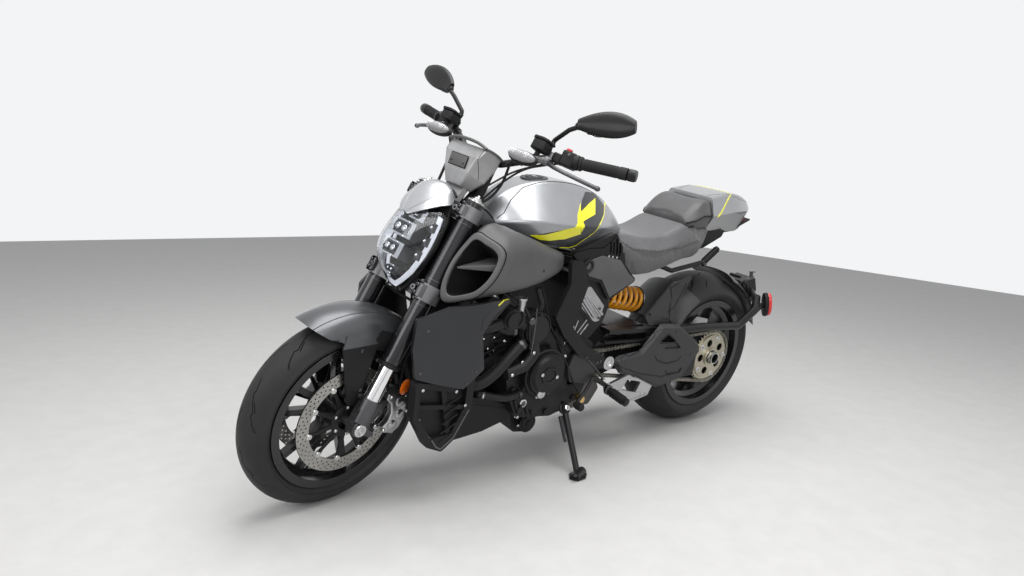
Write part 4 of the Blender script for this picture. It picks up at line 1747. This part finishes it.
# ---- side stand: foot plate, return springs, pivot bolt, tongue ----
def buildStand():
    top, low = Vector((790, 150, 229)), Vector((806, 282, 37))
    way = (low - top).normalized()
    toBike = onBike.to_3x3().inverted()
    axis = toBike @ Vector(jointOf("side_stand_fold")["axis"])
    plate = cut([(768, 262), (782, 250), (830, 262), (852, 292), (838, 318), (800, 316), (772, 292)], 1, 7, 2, "XY")
    ground = toBike @ Vector((0, 0, 1))
    for vert in plate.data.vertices:
        # level with the ground that the leaning machine stands on
        vert.co.z -= (vert.co.x * ground.x + vert.co.y * ground.y) / ground.z
    finished(plate, "standFootPlate", "satinBlack", "side_stand")
    tongue = tube([low + Vector((18, 8, 10)), low + Vector((36, 22, 20)), low + Vector((46, 34, 32))], 5.5, 4)
    finished(tongue, "standTongue", "satinBlack", "side_stand")
    start, end = top + way * 30 + Vector((13, -14, 0)), top + way * 118 + Vector((13, -10, 0))
    side = way.cross(Vector((1, 0, 0))).normalized()
    other = way.cross(side).normalized()
    for name, radius, wire in (("standSpringOuter", 8.5, 1.7), ("standSpringInner", 4.6, 1.2)):
        path = [start.lerp(end, n / 240) + (side * math.cos(n * 0.7) + other * math.sin(n * 0.7)) * radius
                for n in range(241)]
        finished(tube(path, wire, 2, flow=False), name, "darkSteel", "side_stand")
    ridge = [top + way * along + Vector((-3, 10, 0)) for along in (40, 190)]
    finished(barrel(*ridge, 3.4, 10, 0.8), "standRidge", "satinBlack", "side_stand")
    collar = lathe([(-4, 6), (-4, 21), (4, 21), (6, 17), (6, 6)], top, axis, 30)
    finished(collar, "standCollar", "castBlack", "side_stand")
    bolt = lathe([(14, 0), (14, 11), (21, 11), (23, 8), (23, 0)], top, axis, 6)
    finished(bolt, "standPivotBolt", "brightSteel", "side_stand")


buildStand()
print("foot controls and stand built")


# ---- exhaust: end rings, seams, heat shield, header pipe ----
def buildExhaust():
    tree = surfaceOf("exhaust")
    rings = []
    for x, z in ((226, 216), (220, 266)):
        for y in (-190, -232):
            start = Vector((x - 60, y, z + 12))
            way = (start - Vector((x + 20, y + 2, z))).normalized()
            rings.append(lathe([(-14, 14.6), (-14, 19.4), (-1, 19.4), (1.6, 17.4), (1.6, 15), (-3, 14.6)], start, way,
                               36))
    finished(joined(rings), "exhaustTips", "brightSteel")
    lines = [[(540, -252, 290), (260, -252, 318), (204, -252, 292), (212, -252, 200), (302, -252, 170),
              (540, -252, 162)],
             [(430, -252, 300), (420, -252, 160)]]
    finished(joined([strip(tree, line, 4, (0, 1, 0), 1.3, 8) for line in lines]), "silencerSeams", "darkSteel")
    shield = cut([(536, 282), (440, 292), (440, 176), (536, 170)], -256, -252.4, 1.5)
    slots = [cut([(520 - n * 16, 262), (514 - n * 16, 262), (522 - n * 16, 196), (528 - n * 16, 196)], -257.2, -255.8,
                 0.4) for n in range(5)]
    finished(shield, "heatShield", "blackPlastic")
    finished(joined(slots), "heatShieldSlots", "seamBlack")
    finished(sideScrews([(528, 274), (528, 178), (448, 284), (448, 184), (240, 300), (220, 208)], -256, 5, 3),
             "silencerBolts",
             "brightSteel")
    # header pipe down from the front cylinder
    pipe = tube([(1196, -58, 430), (1244, -66, 380), (1220, -80, 270), (1080, -86, 214), (860, -80, 196)], 21, 6)
    finished(pipe, "headerPipe", "exhaustSteel")


buildExhaust()
print("exhaust built")


# ---- the room: floor, lamps, camera ----
room = {
    "floorSize": 14.0, "floorColor": (0.60, 0.595, 0.585), "sky": (0.86, 0.87, 0.89), "skyLevel": 0.42,
    "backdrop": (0.9, 0.905, 0.915),
    "lamps": [
        ("overhead", (0.2, 0.4, 3.4), (0, 0, 0.3), 2.6, 3.2, 125),
        ("leftSoft", (1.2, 3.4, 2.4), (0, 0, 0.5), 2.4, 1.6, 40),
        ("frontSoft", (3.8, 0.4, 2.0), (0.4, 0, 0.5), 2.0, 1.6, 34),
    ],
}


def buildRoom():
    bpy.ops.mesh.primitive_plane_add(size=room["floorSize"], location=(0, 0, 0))
    floor = bpy.context.object
    floor.name = "floor"
    floor.data.materials.append(surfaceFinish("paleFloor", room["floorColor"], roughness=0.7, grain=60, bump=0.05,
                                              mottle=0.03))
    world = bpy.data.worlds.new("softRoom")
    scene.world = world
    world.use_nodes = True
    tree = world.node_tree
    back = tree.nodes["Background"]
    back.inputs["Color"].default_value = (*room["sky"], 1)
    back.inputs["Strength"].default_value = room["skyLevel"]
    seen = addNode(tree, "ShaderNodeBackground", Color=(*room["backdrop"], 1), Strength=1.0)
    rays = addNode(tree, "ShaderNodeLightPath")
    mix = addNode(tree, "ShaderNodeMixShader")
    total = rays.outputs["Is Camera Ray"]
    for kind in ("Is Glossy Ray", "Is Transmission Ray"):
        larger = addNode(tree, "ShaderNodeMath", operation="MAXIMUM")
        link(tree, total, larger.inputs[0])
        link(tree, rays.outputs[kind], larger.inputs[1])
        total = larger.outputs["Value"]
    link(tree, total, mix.inputs["Fac"])
    link(tree, back.outputs["Background"], mix.inputs[1])
    link(tree, seen.outputs["Background"], mix.inputs[2])
    link(tree, mix.outputs["Shader"], tree.nodes["World Output"].inputs["Surface"])
    for name, place, target, width, height, power in room["lamps"]:
        bpy.ops.object.light_add(type="AREA", location=place)
        lamp = bpy.context.object
        lamp.name = name
        lamp.data.shape = "RECTANGLE"
        lamp.data.size, lamp.data.size_y, lamp.data.energy = width, height, power
        lamp.rotation_euler = (Vector(target) - Vector(place)).to_track_quat("-Z", "Y").to_euler()


cameraSettings = {"fromRearAxle": (2.4909, 1.9709, 0.7218), "yaw": -128.089, "pitch": -9.547, "roll": 3.196,
                  "lens": 26.04}


def buildCamera():
    c = cameraSettings
    yaw, pitch, roll = (math.radians(c[k]) for k in ("yaw", "pitch", "roll"))
    ahead = Vector((math.cos(yaw) * math.cos(pitch), math.sin(yaw) * math.cos(pitch), math.sin(pitch)))
    right = ahead.cross(Vector((0, 0, 1))).normalized()
    up = right.cross(ahead)
    turnedRight = right * math.cos(roll) + up * math.sin(roll)
    turnedUp = up * math.cos(roll) - right * math.sin(roll)
    place = Vector(jointOf("rear_wheel_spin")["pos_m"]) + Vector(c["fromRearAxle"])
    bpy.ops.object.camera_add(location=place)
    camera = bpy.context.object
    camera.name = "mainCamera"
    camera.matrix_world = axesFrame(turnedRight, turnedUp, -ahead, place)
    camera.data.lens = c["lens"]
    camera.data.sensor_width = 36
    camera.data.clip_end = 60
    scene.camera = camera


buildRoom()
buildCamera()
scene.view_settings.view_transform = "Standard"
print("room and camera ready")
